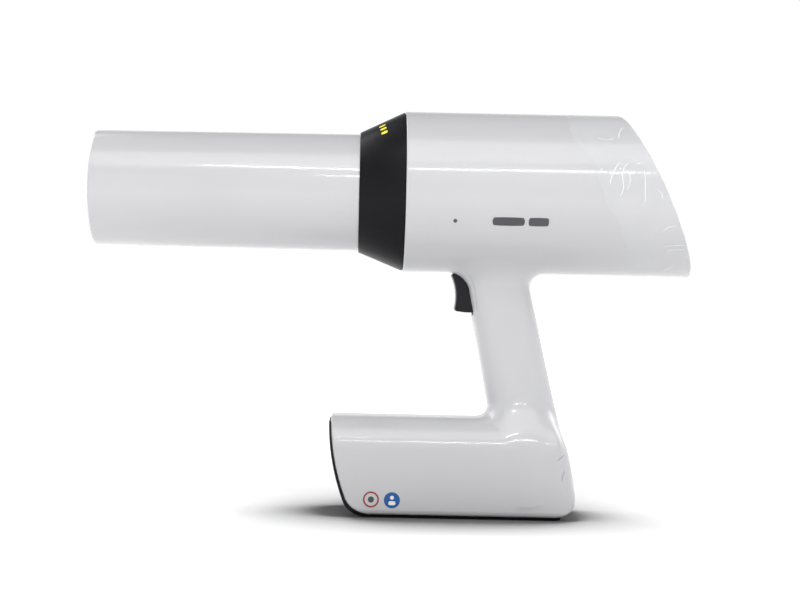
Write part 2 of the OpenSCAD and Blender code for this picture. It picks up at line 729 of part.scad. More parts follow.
left_housing();
right_housing();
front_ring();
ring_seal();
collimator_tube();
tube_liner();
rear_bezel();
display_window();
display_module();
control_board();
buzzer();
keypad_mat();
power_button();
mode_button();
up_button();
down_button();
trigger();
trigger_pin();
trigger_spring();
trigger_switch();
switch_plunger();
switch_bracket();
foot_cover();
cover_screws();
housing_screws();
threaded_inserts();
port_flap();
flap_pin();
charge_jack();
charge_board();
protective_film();
tank_body();
tank_lid();
tank_gasket();
tank_screws();
filler_screw();
expansion_bellows();
lead_jacket();
tube_glass();
anode();
target_disc();
cathode_cup();
tube_cradle();
transformer_core();
transformer_windings();
multiplier_board();
multiplier_parts();
beam_window();
beam_filter();
beam_diaphragm();
inverter_board();
inverter_parts();
heat_sink();
battery_tray();
battery_cells();
cell_tabs();
battery_board();
power_wires();
signal_ribbon();
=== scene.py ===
import json
import math
from functools import partial

import bmesh
import bpy
import numpy as np
from mathutils import Matrix, Vector


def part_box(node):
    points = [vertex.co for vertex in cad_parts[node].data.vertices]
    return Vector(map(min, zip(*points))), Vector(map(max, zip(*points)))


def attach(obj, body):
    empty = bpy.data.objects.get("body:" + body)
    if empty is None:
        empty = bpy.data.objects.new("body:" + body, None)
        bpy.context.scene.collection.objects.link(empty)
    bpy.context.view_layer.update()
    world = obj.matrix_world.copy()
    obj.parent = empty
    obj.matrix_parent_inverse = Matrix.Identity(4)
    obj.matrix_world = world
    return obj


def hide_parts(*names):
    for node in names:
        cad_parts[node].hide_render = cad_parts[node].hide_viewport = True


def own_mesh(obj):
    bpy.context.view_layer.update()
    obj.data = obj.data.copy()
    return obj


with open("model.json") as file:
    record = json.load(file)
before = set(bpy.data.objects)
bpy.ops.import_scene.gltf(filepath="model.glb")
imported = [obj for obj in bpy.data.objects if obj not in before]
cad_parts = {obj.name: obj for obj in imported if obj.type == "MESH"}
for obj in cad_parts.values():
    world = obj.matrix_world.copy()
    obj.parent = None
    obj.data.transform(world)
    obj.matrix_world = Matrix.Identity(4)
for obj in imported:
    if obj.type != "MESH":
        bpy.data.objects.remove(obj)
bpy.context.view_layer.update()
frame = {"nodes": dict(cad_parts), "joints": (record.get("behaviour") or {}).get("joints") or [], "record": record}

MM = 0.001


def mm_box(node):
    """A CAD node's lowest and highest corners, in millimetres."""
    low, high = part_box(node)
    return np.array(low) / MM, np.array(high) / MM


# ---- sizes, in millimetres, from the frame

housing_low, housing_high = mm_box("right_housing")
tube_low, tube_high = mm_box("collimator_tube")
ring_low, ring_high = mm_box("front_ring")
cover_high = mm_box("foot_cover")[1]
trigger_low, trigger_high = mm_box("trigger")
film_low, film_high = mm_box("protective_film")
liner_low, liner_high = mm_box("tube_liner")
flap_low, flap_high = mm_box("port_flap")
spring_low, spring_high = mm_box("trigger_spring")
joints = {j["name"]: j for j in frame["joints"]}
mounts = {m["name"]: m for m in frame["record"]["mounts"]}

HEAD_R = housing_high[1]
HEAD_Z = housing_high[2] - HEAD_R
JACKET_SETBACK = 7.8
HEAD_FRONT = mm_box("lead_jacket")[0][0] - JACKET_SETBACK
WALL = 2.5
BEAM_Z = (tube_low[2] + tube_high[2]) / 2
MOUTH_X = tube_low[0]
TUBE_MOUTH_R = 32.3
TUBE_ROOT_R = (tube_high[2] - tube_low[2]) / 2
BORE_R = mounts["collimator_bore"]["dims"]["r_mm"]
RING_FRONT = ring_low[0]

# The rear plane's outward normal is opposite to the way the buttons are pressed.
PANEL_NORMAL = -np.array(joints["power_press"]["axis"], float)
REAR_TIP = housing_high[0]
REAR_X = REAR_TIP - HEAD_R * PANEL_NORMAL[2] / PANEL_NORMAL[0]
PANEL_CENTRE = np.array([REAR_X, 0, HEAD_Z])
DOWN_SLOPE = np.array([PANEL_NORMAL[2], 0, -PANEL_NORMAL[0]])

FOOT_HALF_W = cover_high[1]
FOOT_TOP = 55
# The cover's thickness, under the foot and in front of it
COVER_T = 1.7
COVER_FRONT_T = 1.0
# The shallow arc of the foot's front, and the two ends of its straight back
FOOT_FRONT_R = 127
FOOT_FRONT_CENTRE = (94.8, 56.1)
FOOT_BACK = ((103.4, 24), (93.6, 55))
# Roundings of the foot: its top and bottom edges, its upright rear edges, and its lower corners from the side
FOOT_TOP_R = 19
FOOT_BOTTOM_R = 5
FOOT_PLAN_R = 7
HEEL_X = 104
HEEL_R = 12.5
NOSE_R = 9
HANDLE_HALF_W = 15.5
HANDLE_LEAN = math.cos(math.radians(12.3))
HANDLE_SQUARENESS = 2.7
# The handle's field runs down to here, inside the foot
HANDLE_FLOOR = 20
# Far outside every piece, as a distance
NOWHERE = 1e3

TRIGGER_HALF_W = (trigger_high[1] - trigger_low[1]) / 2
TRIGGER_GAP = 0.45
PIVOT = np.array(joints["trigger_pull"]["pos_m"]) / MM
HINGE = np.array(joints["flap_open"]["pos_m"]) / MM


def add_object(name, data):
    """A new object in the scene."""
    item = bpy.data.objects.new(name, data)
    bpy.context.scene.collection.objects.link(item)
    return item


# ---- camera

def make_camera():
    """The photograph's view: level, square to the side, slightly off to the front and rolled a little."""
    data = bpy.data.cameras.new("camera")
    data.lens = 69.75
    data.sensor_width = 36
    data.shift_x = 0.05375
    data.clip_start = 0.01
    camera = add_object("camera", data)
    camera.location = (-0.019, -0.876, 0.116)
    roll = math.radians(1.18)
    camera.rotation_euler = (Matrix.Rotation(math.pi / 2, 3, "X") @ Matrix.Rotation(roll, 3, "Z")).to_euler()
    bpy.context.scene.camera = camera


make_camera()


# ---- distance fields, negative inside

def meet(a, b, r=0.0):
    """Intersection of two fields, with the edge between them rounded to radius r."""
    if np.isscalar(r) and r <= 0:
        return np.maximum(a, b)
    return np.minimum(np.maximum(a, b), -r) + np.hypot(np.maximum(a + r, 0), np.maximum(b + r, 0))


def join(a, b, r=0.0):
    """Union of two fields, with a fillet of radius r where they meet."""
    return -meet(-a, -b, r)


def cut(a, b, r=0.0):
    """Field a with field b taken away, and the new edge rounded."""
    return meet(a, -b, r)


def box_field(x, y, z, low, high, r=0.0):
    """A box with all its edges rounded to radius r."""
    middle = (np.array(low) + np.array(high)) / 2
    half = (np.array(high) - np.array(low)) / 2 - r
    dx, dy, dz = (np.abs(v - m) - h for v, m, h in zip((x, y, z), middle, half))
    outside = np.sqrt(np.maximum(dx, 0) ** 2 + np.maximum(dy, 0) ** 2 + np.maximum(dz, 0) ** 2)
    return outside + np.minimum(np.maximum(dx, np.maximum(dy, dz)), 0) - r


def rod_field(x, z, cx, cz, r):
    """An endless cylinder along Y."""
    return np.hypot(x - cx, z - cz) - r


def rear_plane(x, z, depth=0.0):
    """Distance out of the slanted rear plane, moved out by depth."""
    return (x - REAR_X) * PANEL_NORMAL[0] + (z - HEAD_Z) * PANEL_NORMAL[2] - depth


def foot_side(x, z, grow=0.0):
    """The foot seen from the side: a shallow arc in front, round lower corners, a back that leans forward."""
    front = np.hypot(x - FOOT_FRONT_CENTRE[0], z - FOOT_FRONT_CENTRE[1]) - FOOT_FRONT_R - grow
    bottom = COVER_T - z - grow
    (x0, z0), (x1, z1) = FOOT_BACK
    length = math.hypot(x1 - x0, z1 - z0)
    lean = ((x - x0) * (z1 - z0) - (z - z0) * (x1 - x0)) / length - grow
    back = meet(lean, x - HEEL_X - grow, 6)
    return meet(meet(front, bottom, NOSE_R + grow), back, np.where(x > 40, HEEL_R, NOSE_R) + grow)


def foot_section(y, z, grow=0.0):
    """The foot seen from the front: a strongly rounded top and small lower corners."""
    side = np.abs(y) - FOOT_HALF_W - grow
    upper = meet(side, z - FOOT_TOP - grow, FOOT_TOP_R + grow)
    return meet(upper, -z - grow, FOOT_BOTTOM_R + grow)


def foot_corner(x, z, edge):
    """The foot's upright edges are crisp in front and well rounded at the back, above the cover."""
    return edge + (FOOT_PLAN_R - edge) * np.clip((x - 82) / 14, 0, 1) * np.clip((z - 5) / 12, 0, 1)


def foot_field(x, y, z, grow=0.0):
    radius = foot_corner(x, z, 1.2)
    return meet(foot_side(x, z, grow), foot_section(y, z, grow), radius + np.minimum(grow, 0) * (radius > 4))


def handle_front(z):
    return 45.9 + (111.4 - z) * 0.1966


def handle_back(z):
    bend = 8.0
    return 89.9 + 0.2325 * (76 - z) + 0.03 * bend * np.logaddexp(0, (72 - z) / bend)


def handle_field(x, y, z, grow=0.0):
    """The leaning grip, with a rounded section, from inside the foot up to the head's axis."""
    front, back = handle_front(z), handle_back(z)
    half_depth = (back - front) / 2 * HANDLE_LEAN + grow
    half_w = HANDLE_HALF_W + grow
    u = np.abs(x - (front + back) / 2) * HANDLE_LEAN / half_depth
    v = np.abs(y) / half_w
    n = HANDLE_SQUARENESS
    grip = ((u ** n + v ** n + 1e-9) ** (1 / n) - 1) * half_w
    return meet(meet(grip, z - HEAD_Z), HANDLE_FLOOR - z)


def foot_blend(x, z):
    """Radius of the fillet between handle and foot: small in front, wide at the sides, none at the back."""
    level = np.clip(z, 50, 76)
    front, back = handle_front(level), handle_back(level)
    u = np.clip((2 * x - front - back) / (back - front), -1, 1)
    return 4.2 - 2.8 * u + 11 * (1 - u * u)


# Radius of the fillet between head and handle
NECK_R = 10


def head_tube(y, z, grow=0.0):
    return np.hypot(y, z - HEAD_Z) - HEAD_R - grow


def skin_field(x, y, z):
    """The housing's whole outer surface, head, handle and foot in one."""
    upper = join(head_tube(y, z), handle_field(x, y, z), NECK_R)
    body = join(upper, foot_field(x, y, z), foot_blend(x, z))
    # The head's own front and rear ends cut only what is level with the head.
    ends = np.where(z > 100, meet(HEAD_FRONT - x, rear_plane(x, z)), -NOWHERE)
    return meet(body, ends, 0.8)


def hollow_field(x, y, z):
    """The space inside the housing, open at the head's two ends."""
    upper = join(head_tube(y, z, -WALL), handle_field(x, y, z, -WALL), NECK_R - 2)
    return join(upper, foot_field(x, y, z, -WALL), 6)


def trigger_slot(x, y, z):
    """The slot in the front of the handle that the trigger moves in."""
    half = TRIGGER_HALF_W + TRIGGER_GAP
    low = (20, -half, trigger_low[2] - 1.2)
    return box_field(x, y, z, low, (51, half, HEAD_Z - HEAD_R - 0.2), 1.2)


# Screw wells in the right half: where they are, and how far from the middle plane their floor is
SCREW_WELLS = ((69.5, 112, 11), (77, 64, 11), (-21, 40, 22), (93, 11, 22))
SCREW_WELL_R = 2.95
PORT_GAP = 0.35
PARTING_GAP = 0.03


def port_opening(x, y, z):
    low = (85, flap_low[1] - PORT_GAP, flap_low[2] - PORT_GAP)
    high = (112, flap_high[1] + PORT_GAP, flap_high[2] + 0.5)
    return box_field(x, y, z, low, high, 0.8)


def housing_field(x, y, z, side):
    """One half of the housing, on the side of +Y or -Y."""
    shell = cut(skin_field(x, y, z), hollow_field(x, y, z), 0.3)
    shell = cut(shell, trigger_slot(x, y, z), 0.6)
    shell = cut(shell, port_opening(x, y, z), 0.4)
    if side > 0:
        for sx, sz, floor_y in SCREW_WELLS:
            well = meet(rod_field(x, z, sx, sz, SCREW_WELL_R), floor_y - y, 0.2)
            shell = cut(shell, well, 0.35)
    return meet(shell, PARTING_GAP - side * y, 0.35)


# ---- from a field to a mesh

def gradient(field, p, h=0.05):
    """Unit normals of a field at points p."""
    g = np.empty_like(p)
    for a in range(3):
        step = np.zeros(3)
        step[a] = h
        g[:, a] = field(*(p + step).T) - field(*(p - step).T)
    return g / np.maximum(np.linalg.norm(g, axis=1, keepdims=True), 1e-12)


def crossings(field, grid, values, axis):
    """Where the surface crosses the grid's edges along one axis: lower index, point, inward flag."""
    a = values[tuple(slice(0, -1) if k == axis else slice(None) for k in range(3))]
    b = values[tuple(slice(1, None) if k == axis else slice(None) for k in range(3))]
    index = np.argwhere((a < 0) != (b < 0))
    va, vb = a[tuple(index.T)], b[tuple(index.T)]
    low = np.stack([grid[k][index[:, k]] for k in range(3)], 1)
    cell = grid[axis][1] - grid[axis][0]
    t0, t1 = np.zeros(len(index)), np.ones(len(index))
    f0, f1 = va.copy(), vb.copy()
    for _ in range(4):
        t = t0 + (t1 - t0) * np.clip(f0 / (f0 - f1), 0.02, 0.98)
        p = low.copy()
        p[:, axis] += t * cell
        f = field(*p.T)
        same = (f < 0) == (f0 < 0)
        t0, f0 = np.where(same, t, t0), np.where(same, f, f0)
        t1, f1 = np.where(same, t1, t), np.where(same, f1, f)
    t = t0 + (t1 - t0) * f0 / np.where(f0 == f1, 1, f0 - f1)
    p = low.copy()
    p[:, axis] += t * cell
    return index, p, va < 0


def contour(field, low, high, cell):
    """A closed quad mesh of field < 0, with a vertex in each crossed cell where the surface's planes meet."""
    low, high = np.array(low, float), np.array(high, float)
    counts = np.ceil((high - low) / cell).astype(int) + 1
    grid = [low[k] + cell * np.arange(counts[k]) for k in range(3)]
    values = field(*np.meshgrid(*grid, indexing="ij", sparse=True))
    values = np.where(np.abs(values) < 1e-7, 1e-7, values)
    cells = counts - 1

    def cell_id(i):
        return (i[:, 0] * cells[1] + i[:, 1]) * cells[2] + i[:, 2]

    ids, points, normals, quads, flips = [], [], [], [], []
    for axis in range(3):
        index, p, inward = crossings(field, grid, values, axis)
        n = gradient(field, p)
        u, v = (axis + 1) % 3, (axis + 2) % 3
        ring = []
        for du, dv in ((-1, -1), (0, -1), (0, 0), (-1, 0)):
            around = index.copy()
            around[:, u] += du
            around[:, v] += dv
            ring.append(cell_id(around))
        ring = np.stack(ring, 1)
        ids.append(ring.ravel())
        points.append(np.repeat(p, 4, 0))
        normals.append(np.repeat(n, 4, 0))
        quads.append(ring)
        flips.append(inward)
    ids, points, normals = (np.concatenate(v) for v in (ids, points, normals))
    quads, flips = np.concatenate(quads), np.concatenate(flips)
    used, slot = np.unique(ids, return_inverse=True)
    slot = slot.ravel()
    total = len(used)

    def gather(weights):
        return np.bincount(slot, weights, total)

    number = gather(np.ones(len(slot)))
    mean = np.stack([gather(points[:, k]) for k in range(3)], 1) / number[:, None]
    offset = np.einsum("ij,ij->i", normals, points - mean[slot])
    matrix = np.empty((total, 3, 3))
    right = np.empty((total, 3))
    for i in range(3):
        right[:, i] = gather(normals[:, i] * offset)
        for j in range(3):
            matrix[:, i, j] = gather(normals[:, i] * normals[:, j])
    pull = 0.02
    matrix += np.eye(3) * pull * number[:, None, None]
    vertices = mean + np.clip(np.linalg.solve(matrix, right[..., None])[..., 0], -cell, cell)
    quads = np.searchsorted(used, quads)
    quads[~flips] = quads[~flips][:, ::-1]
    return vertices, quads


def corner_normals(field, vertices, faces):
    """Normals for each face corner: the field's own where it is smooth, the face's side of it at an edge."""
    centres = vertices[faces].mean(1)
    at_face = gradient(field, centres)
    at_vertex = gradient(field, vertices)
    corner = at_vertex[faces]
    agree = np.einsum("fcj,fj->fc", corner, at_face)
    sharp = np.zeros(len(vertices), bool)
    sharp[faces[agree < 0.93]] = True
    near = vertices[faces] * 0.55 + centres[:, None, :] * 0.45
    own = gradient(field, near.reshape(-1, 3)).reshape(near.shape)
    return np.where(sharp[faces][..., None], own, corner)


def mesh_piece(name, vertices, faces, normals=None, smooth_angle=None):
    """An object from points in millimetres."""
    mesh = bpy.data.meshes.new(name)
    mesh.from_pydata((np.asarray(vertices) * MM).tolist(), [], [list(map(int, f)) for f in faces])
    mesh.update()
    mesh.shade_smooth()
    if normals is not None:
        mesh.normals_split_custom_set(normals.reshape(-1, 3).tolist())
    if smooth_angle is not None:
        mesh.set_sharp_from_angle(angle=math.radians(smooth_angle))
    return add_object(name, mesh)


def field_piece(name, field, low, high, cell):
    vertices, faces = contour(field, low, high, cell)
    normals = corner_normals(field, vertices, faces)
    return mesh_piece(name, vertices, faces, normals)


def lathe_piece(name, profile, centre_at, steps=192):
    """A closed ring turned from an outline of (radius, x), about an axis whose height is given at each x."""
    profile = np.array(profile, float)
    angles = 2 * np.pi * np.arange(steps) / steps
    count = len(profile)
    x = np.repeat(profile[None, :, 1], steps, 0)
    y = profile[None, :, 0] * np.sin(angles)[:, None]
    z = profile[None, :, 0] * np.cos(angles)[:, None] + centre_at(profile[:, 1])
    vertices = np.stack([x, y, z], -1).reshape(-1, 3)
    faces = []
    for i in range(steps):
        for k in range(count):
            a, b = i * count + k, i * count + (k + 1) % count
            c, d = (i + 1) % steps * count + (k + 1) % count, (i + 1) % steps * count + k
            faces.append((a, b, c, d))
    piece = mesh_piece(name, vertices, faces, smooth_angle=28)
    orient(piece)
    return piece


def orient(piece):
    """Turns all faces outwards."""
    work = bmesh.new()
    work.from_mesh(piece.data)
    bmesh.ops.recalc_face_normals(work, faces=work.faces)
    work.to_mesh(piece.data)
    work.free()


def capped_tube(rings, count):
    """Faces of a closed tube: a cap at each end, and quads between rings of count points each."""
    last = (rings - 1) * count
    faces = [tuple(range(count)), tuple(last + k for k in reversed(range(count)))]
    for i in range(rings - 1):
        for k in range(count):
            a, b = i * count + k, i * count + (k + 1) % count
            faces.append((a, a + count, b + count, b))
    return faces


def sheet_faces(rows, columns, closed):
    """Faces of a thin sheet: a grid of outer points, one of inner points, and the open edges between them."""
    total = rows * columns
    last = columns if closed else columns - 1
    faces = []

    def at(i, j):
        return i * columns + j % columns

    for i in range(rows - 1):
        for j in range(last):
            quad = (at(i, j), at(i, j + 1), at(i + 1, j + 1), at(i + 1, j))
            faces += [quad, tuple(total + k for k in reversed(quad))]
    edge = [(at(0, j), at(0, j + 1)) for j in range(last)]
    edge += [(at(rows - 1, j + 1), at(rows - 1, j)) for j in range(last)]
    if not closed:
        edge += [(at(i + 1, 0), at(i, 0)) for i in range(rows - 1)]
        edge += [(at(i, columns - 1), at(i + 1, columns - 1)) for i in range(rows - 1)]
    return faces + [(k, h, total + h, total + k) for h, k in edge]


def fillet(a, b, c, r, n=5):
    """Points that round the corner at b of the path a-b-c with radius r."""
    a, b, c = (np.array(p, float) for p in (a, b, c))
    u, v = (a - b) / np.linalg.norm(a - b), (c - b) / np.linalg.norm(c - b)
    half = math.acos(np.clip(u @ v, -1, 1)) / 2
    reach = r / math.tan(half)
    centre = b + (u + v) / np.linalg.norm(u + v) * r / math.sin(half)
    start, end = b + u * reach - centre, b + v * reach - centre
    turn = math.acos(np.clip(start @ end / r ** 2, -1, 1))
    return [centre + (math.sin((1 - t) * turn) * start + math.sin(t * turn) * end) / math.sin(turn)
            for t in np.linspace(0, 1, n)]


def rounded(outline):
    """A closed outline from corners given as (a, b) or (a, b, radius)."""
    points = []
    for i, corner in enumerate(outline):
        before, after = outline[i - 1], outline[(i + 1) % len(outline)]
        if len(corner) == 2:
            points.append(np.array(corner, float))
        else:
            points += fillet(before[:2], corner[:2], after[:2], corner[2])
    return points


# ---- materials

def new_material(name):
    material = bpy.data.materials.new(name)
    material.use_nodes = True
    return material, material.node_tree, material.node_tree.nodes["Principled BSDF"]


def fill(node, values):
    """Sets a node's input sockets, found by their names, to plain values."""
    for socket, value in values.items():
        node.inputs[socket].default_value = value


# Noise values between these two are spread over a whole range; the rest is clamped to its ends.
RAMP_LOW, RAMP_HIGH = 0.3, 0.7


def object_noise(tree, scale, detail=3.0, roughness=0.5, distortion=0.0, stretch=None):
    """Noise fixed to the object, with the scale in features per metre, and stretched by a vector if given."""
    place = tree.nodes.new("ShaderNodeTexCoord").outputs["Object"]
    if stretch:
        mapping = tree.nodes.new("ShaderNodeMapping")
        mapping.inputs["Scale"].default_value = stretch
        tree.links.new(place, mapping.inputs["Vector"])
        place = mapping.outputs["Vector"]
    noise = tree.nodes.new("ShaderNodeTexNoise")
    fill(noise, {"Scale": scale, "Detail": detail, "Roughness": roughness, "Distortion": distortion})
    tree.links.new(place, noise.inputs["Vector"])
    return noise.outputs["Fac"]


def remap(tree, value, low, high, start=RAMP_LOW, end=RAMP_HIGH):
    node = tree.nodes.new("ShaderNodeMapRange")
    fill(node, {"From Min": start, "From Max": end, "To Min": low, "To Max": high})
    tree.links.new(value, node.inputs["Value"])
    return node.outputs["Result"]


def two_tone(tree, value, dark, light):
    ramp = tree.nodes.new("ShaderNodeValToRGB")
    ramp.color_ramp.elements[0].position = RAMP_LOW
    ramp.color_ramp.elements[0].color = (*dark, 1)
    ramp.color_ramp.elements[1].position = RAMP_HIGH
    ramp.color_ramp.elements[1].color = (*light, 1)
    tree.links.new(value, ramp.inputs["Fac"])
    return ramp.outputs["Color"]


def bump(tree, shader, height, strength, distance):
    node = tree.nodes.new("ShaderNodeBump")
    fill(node, {"Strength": strength, "Distance": distance})
    tree.links.new(height, node.inputs["Height"])
    tree.links.new(node.outputs["Normal"], shader.inputs["Normal"])


def plastic(name, dark, light, rough=(0.2, 0.3), grain=900, grain_depth=0.00002, specular=0.5, coat=0.0,
            cloud=25):
    """Moulded plastic: slow colour clouding, uneven gloss and a fine moulded grain."""
    material, tree, shader = new_material(name)
    tree.links.new(two_tone(tree, object_noise(tree, cloud), dark, light), shader.inputs["Base Color"])
    smudge = object_noise(tree, 60, 4, 0.6, 0.4)
    tree.links.new(remap(tree, smudge, *rough), shader.inputs["Roughness"])
    bump(tree, shader, object_noise(tree, grain, 2), 0.5, grain_depth)
    shader.inputs["Specular IOR Level"].default_value = specular
    if coat:
        fill(shader, {"Coat Weight": coat, "Coat Roughness": 0.08})
    return material


def metal(name, dark, light, rough=(0.25, 0.45), stretch=(1, 1, 12), grain=500):
    """Metal with fine drawn streaks."""
    material, tree, shader = new_material(name)
    streak = object_noise(tree, grain, 4, stretch=stretch)
    tree.links.new(two_tone(tree, streak, dark, light), shader.inputs["Base Color"])
    tree.links.new(remap(tree, streak, *rough), shader.inputs["Roughness"])
    bump(tree, shader, streak, 0.3, 0.00002)
    shader.inputs["Metallic"].default_value = 1.0
    return material


def clear(name, dark, light, alpha, rough=(0.02, 0.08)):
    """Thin clear plastic or glass, faintly clouded."""
    material, tree, shader = new_material(name)
    tree.links.new(two_tone(tree, object_noise(tree, 40), dark, light), shader.inputs["Base Color"])
    tree.links.new(remap(tree, object_noise(tree, 120), *rough), shader.inputs["Roughness"])
    shader.inputs["Alpha"].default_value = alpha
    return material


# What each material slot is made of: colours, then roughness, grain, grain depth, specular, coat and cloud
WHITE = ((0.475, 0.475, 0.488), (0.495, 0.495, 0.508), (0.3, 0.36), 500, 0.000002, 0.4, 0.45, 12)
BLACK = ((0.006, 0.006, 0.007), (0.010, 0.010, 0.012))
PLASTICS = {
    "white_housing": WHITE,
    "white_tube": WHITE,
    "black_ring": (*BLACK, (0.3, 0.42), 2500, 0.00003, 0.09),
    "black_cover": (*BLACK, (0.35, 0.5), 2200, 0.00004, 0.14),
    "black_trigger": ((0.006, 0.006, 0.008), (0.010, 0.010, 0.013), (0.22, 0.34), 2600, 0.00002, 0.2),
    "black_window": ((0.004, 0.004, 0.005), (0.006, 0.006, 0.008), (0.03, 0.06), 300, 0.000002, 0.5, 1.0),
    "display": ((0.01, 0.014, 0.02), (0.02, 0.026, 0.035), (0.1, 0.2)),
    "bezel_grey": ((0.62, 0.63, 0.645), (0.66, 0.67, 0.68), (0.34, 0.44), 2400, 0.00003),
    "key_grey": ((0.16, 0.165, 0.175), (0.2, 0.205, 0.215), (0.35, 0.5), 2400, 0.00003),
    "power_key_green": ((0.03, 0.22, 0.08), (0.05, 0.28, 0.11), (0.3, 0.42), 2400, 0.00003),
    "flap_grey": ((0.62, 0.62, 0.635), (0.68, 0.68, 0.69), (0.38, 0.5), 2400, 0.00003),
    "seal_rubber": ((0.015, 0.015, 0.016), (0.03, 0.03, 0.032), (0.6, 0.8), 1500, 0.00005),
    "black_parts": ((0.015, 0.015, 0.016), (0.03, 0.03, 0.032), (0.35, 0.5)),
    "red_parts": ((0.4, 0.02, 0.02), (0.5, 0.04, 0.03)),
    "blue_parts": ((0.02, 0.06, 0.25), (0.04, 0.09, 0.35)),
    "white_parts": ((0.65, 0.63, 0.56), (0.72, 0.7, 0.63), (0.4, 0.5)),
    "amber_plastic": ((0.45, 0.22, 0.04), (0.55, 0.3, 0.07)),
    "circuit_board": ((0.01, 0.12, 0.05), (0.015, 0.16, 0.07), (0.2, 0.35), 1800, 0.00006),
    "ferrite": ((0.03, 0.03, 0.032), (0.05, 0.05, 0.053), (0.6, 0.75), 1200, 0.0001),
    "cell_wrap": ((0.02, 0.1, 0.3), (0.03, 0.13, 0.38), (0.15, 0.3)),
    "wire_red": ((0.35, 0.01, 0.01), (0.45, 0.02, 0.02), (0.4, 0.55)),
    "ribbon_grey": ((0.4, 0.4, 0.42), (0.5, 0.5, 0.52), (0.35, 0.5)),
}
# Colours, then roughness, stretch of the streaks and grain
METALS = {
    "steel": ((0.5, 0.5, 0.5), (0.62, 0.62, 0.62)),
    "screw_steel": ((0.2, 0.2, 0.21), (0.3, 0.3, 0.31)),
    "insert_brass": ((0.6, 0.42, 0.15), (0.72, 0.52, 0.22)),
    "copper": ((0.6, 0.26, 0.12), (0.75, 0.36, 0.2)),
    "lead": ((0.16, 0.165, 0.18), (0.24, 0.245, 0.26), (0.5, 0.7), (1, 1, 1), 200),
    "tank_aluminium": ((0.6, 0.61, 0.63), (0.72, 0.73, 0.75)),
    "heat_sink_aluminium": ((0.5, 0.5, 0.52), (0.62, 0.62, 0.64)),
}
# Colours, then how opaque they are
CLEARS = {
    "clear_film": ((0.86, 0.87, 0.885), (0.94, 0.945, 0.95), 0.07),
    "tube_glass": ((0.85, 0.93, 0.95), (1, 1, 1), 0.35),
}
MATERIALS = {}
for make, looks in ((plastic, PLASTICS), (metal, METALS), (clear, CLEARS)):
    MATERIALS.update({name: make(name, *look) for name, look in looks.items()})


def dress(piece, name):
    piece.data.materials.clear()
    piece.data.materials.append(MATERIALS[name])


def stand_for(piece, node, body="housing"):
    """The piece takes the place, finish and body of a CAD node."""
    slot = SLOTS[node]
    dress(piece, slot)
    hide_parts(node)
    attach(piece, body)


def make_moulding(name, field, node, cell, body="housing"):
    low, high = mm_box(node)
    stand_for(field_piece(name, field, low - 2, high + 2, cell), node, body)


SLOTS = {part["node"]: part["material_slot"] for part in frame["record"]["subparts"]}
for node_name, node_object in frame["nodes"].items():
    dress(node_object, SLOTS[node_name])


# ---- housing

HOUSING_CELL = 1.0


def make_housing():
    margin = 3 * HOUSING_CELL
    low, high = housing_low - margin, housing_high + margin
    for name, side in (("right_housing", 1), ("left_housing", -1)):
        start, end = low.copy(), high.copy()
        start[1], end[1] = (-margin, HEAD_R + margin) if side > 0 else (-HEAD_R - margin, margin)
        half = partial(housing_field, side=side)
        stand_for(field_piece(name + "_shell", half, start, end, HOUSING_CELL), name)


make_housing()


# ---- collimator tube and ring

# The tube's spigot, and the ring's front bore that it sits in
SPIGOT_R = 31.3
RING_BORE_R = 31.4


def make_tube():
    spigot_end = tube_high[0]
    shoulder = RING_FRONT - 0.1
    step = liner_low[0] - 0.3
    rear_bore_r = (liner_high[2] - liner_low[2]) / 2 + 0.1
    outline = [
        (BORE_R, MOUTH_X + 0.25), (BORE_R + 0.2, MOUTH_X), (TUBE_MOUTH_R, MOUTH_X, 1.4),
        (TUBE_ROOT_R, shoulder), (SPIGOT_R, shoulder), (SPIGOT_R, spigot_end), (rear_bore_r, spigot_end),
        (rear_bore_r, step), (BORE_R, step),
    ]
    stand_for(lathe_piece("collimator_tube_turned", rounded(outline), lambda x: BEAM_Z), "collimator_tube")


RING_SMALL_R = 33.7
RING_LARGE_R = 44.7
RING_BACK = HEAD_FRONT - 0.2
# The sleeve that plugs into the housing, and the web that stops the spigot
SLEEVE_R = 41.7
SLEEVE_BORE_R = 39.9
WEB_BORE_R = 29.3
WEB_DEPTHS = (12.3, 14.5)


def ring_centre(x):
    """The cone leans a little: its small end follows the beam, its large end the head."""
    return BEAM_Z + (HEAD_Z - BEAM_Z) * np.clip((x - RING_FRONT) / (RING_BACK - RING_FRONT), 0, 1)


def make_ring():
    front, back, end = RING_FRONT, RING_BACK, ring_high[0]
    web_front, web_back = (front + depth for depth in WEB_DEPTHS)
    outline = [
        (RING_BORE_R, front), (RING_SMALL_R, front, 0.5), (RING_LARGE_R, back, 0.6), (SLEEVE_R, back),
        (SLEEVE_R, end), (SLEEVE_BORE_R, end), (SLEEVE_BORE_R, back - 3), (34.0, web_back),
        (WEB_BORE_R, web_back), (WEB_BORE_R, web_front), (RING_BORE_R, web_front),
    ]
    stand_for(lathe_piece("front_ring_turned", rounded(outline), ring_centre), "front_ring")


make_tube()
make_ring()


# ---- trigger and foot cover

# The hollow for the finger: its centre (x, z) and radius
FINGER_HOLLOW = (7.2, 121.9, 29.4)
TRIGGER_HUB_R = 3.6
TRIGGER_BORE_R = 1.56


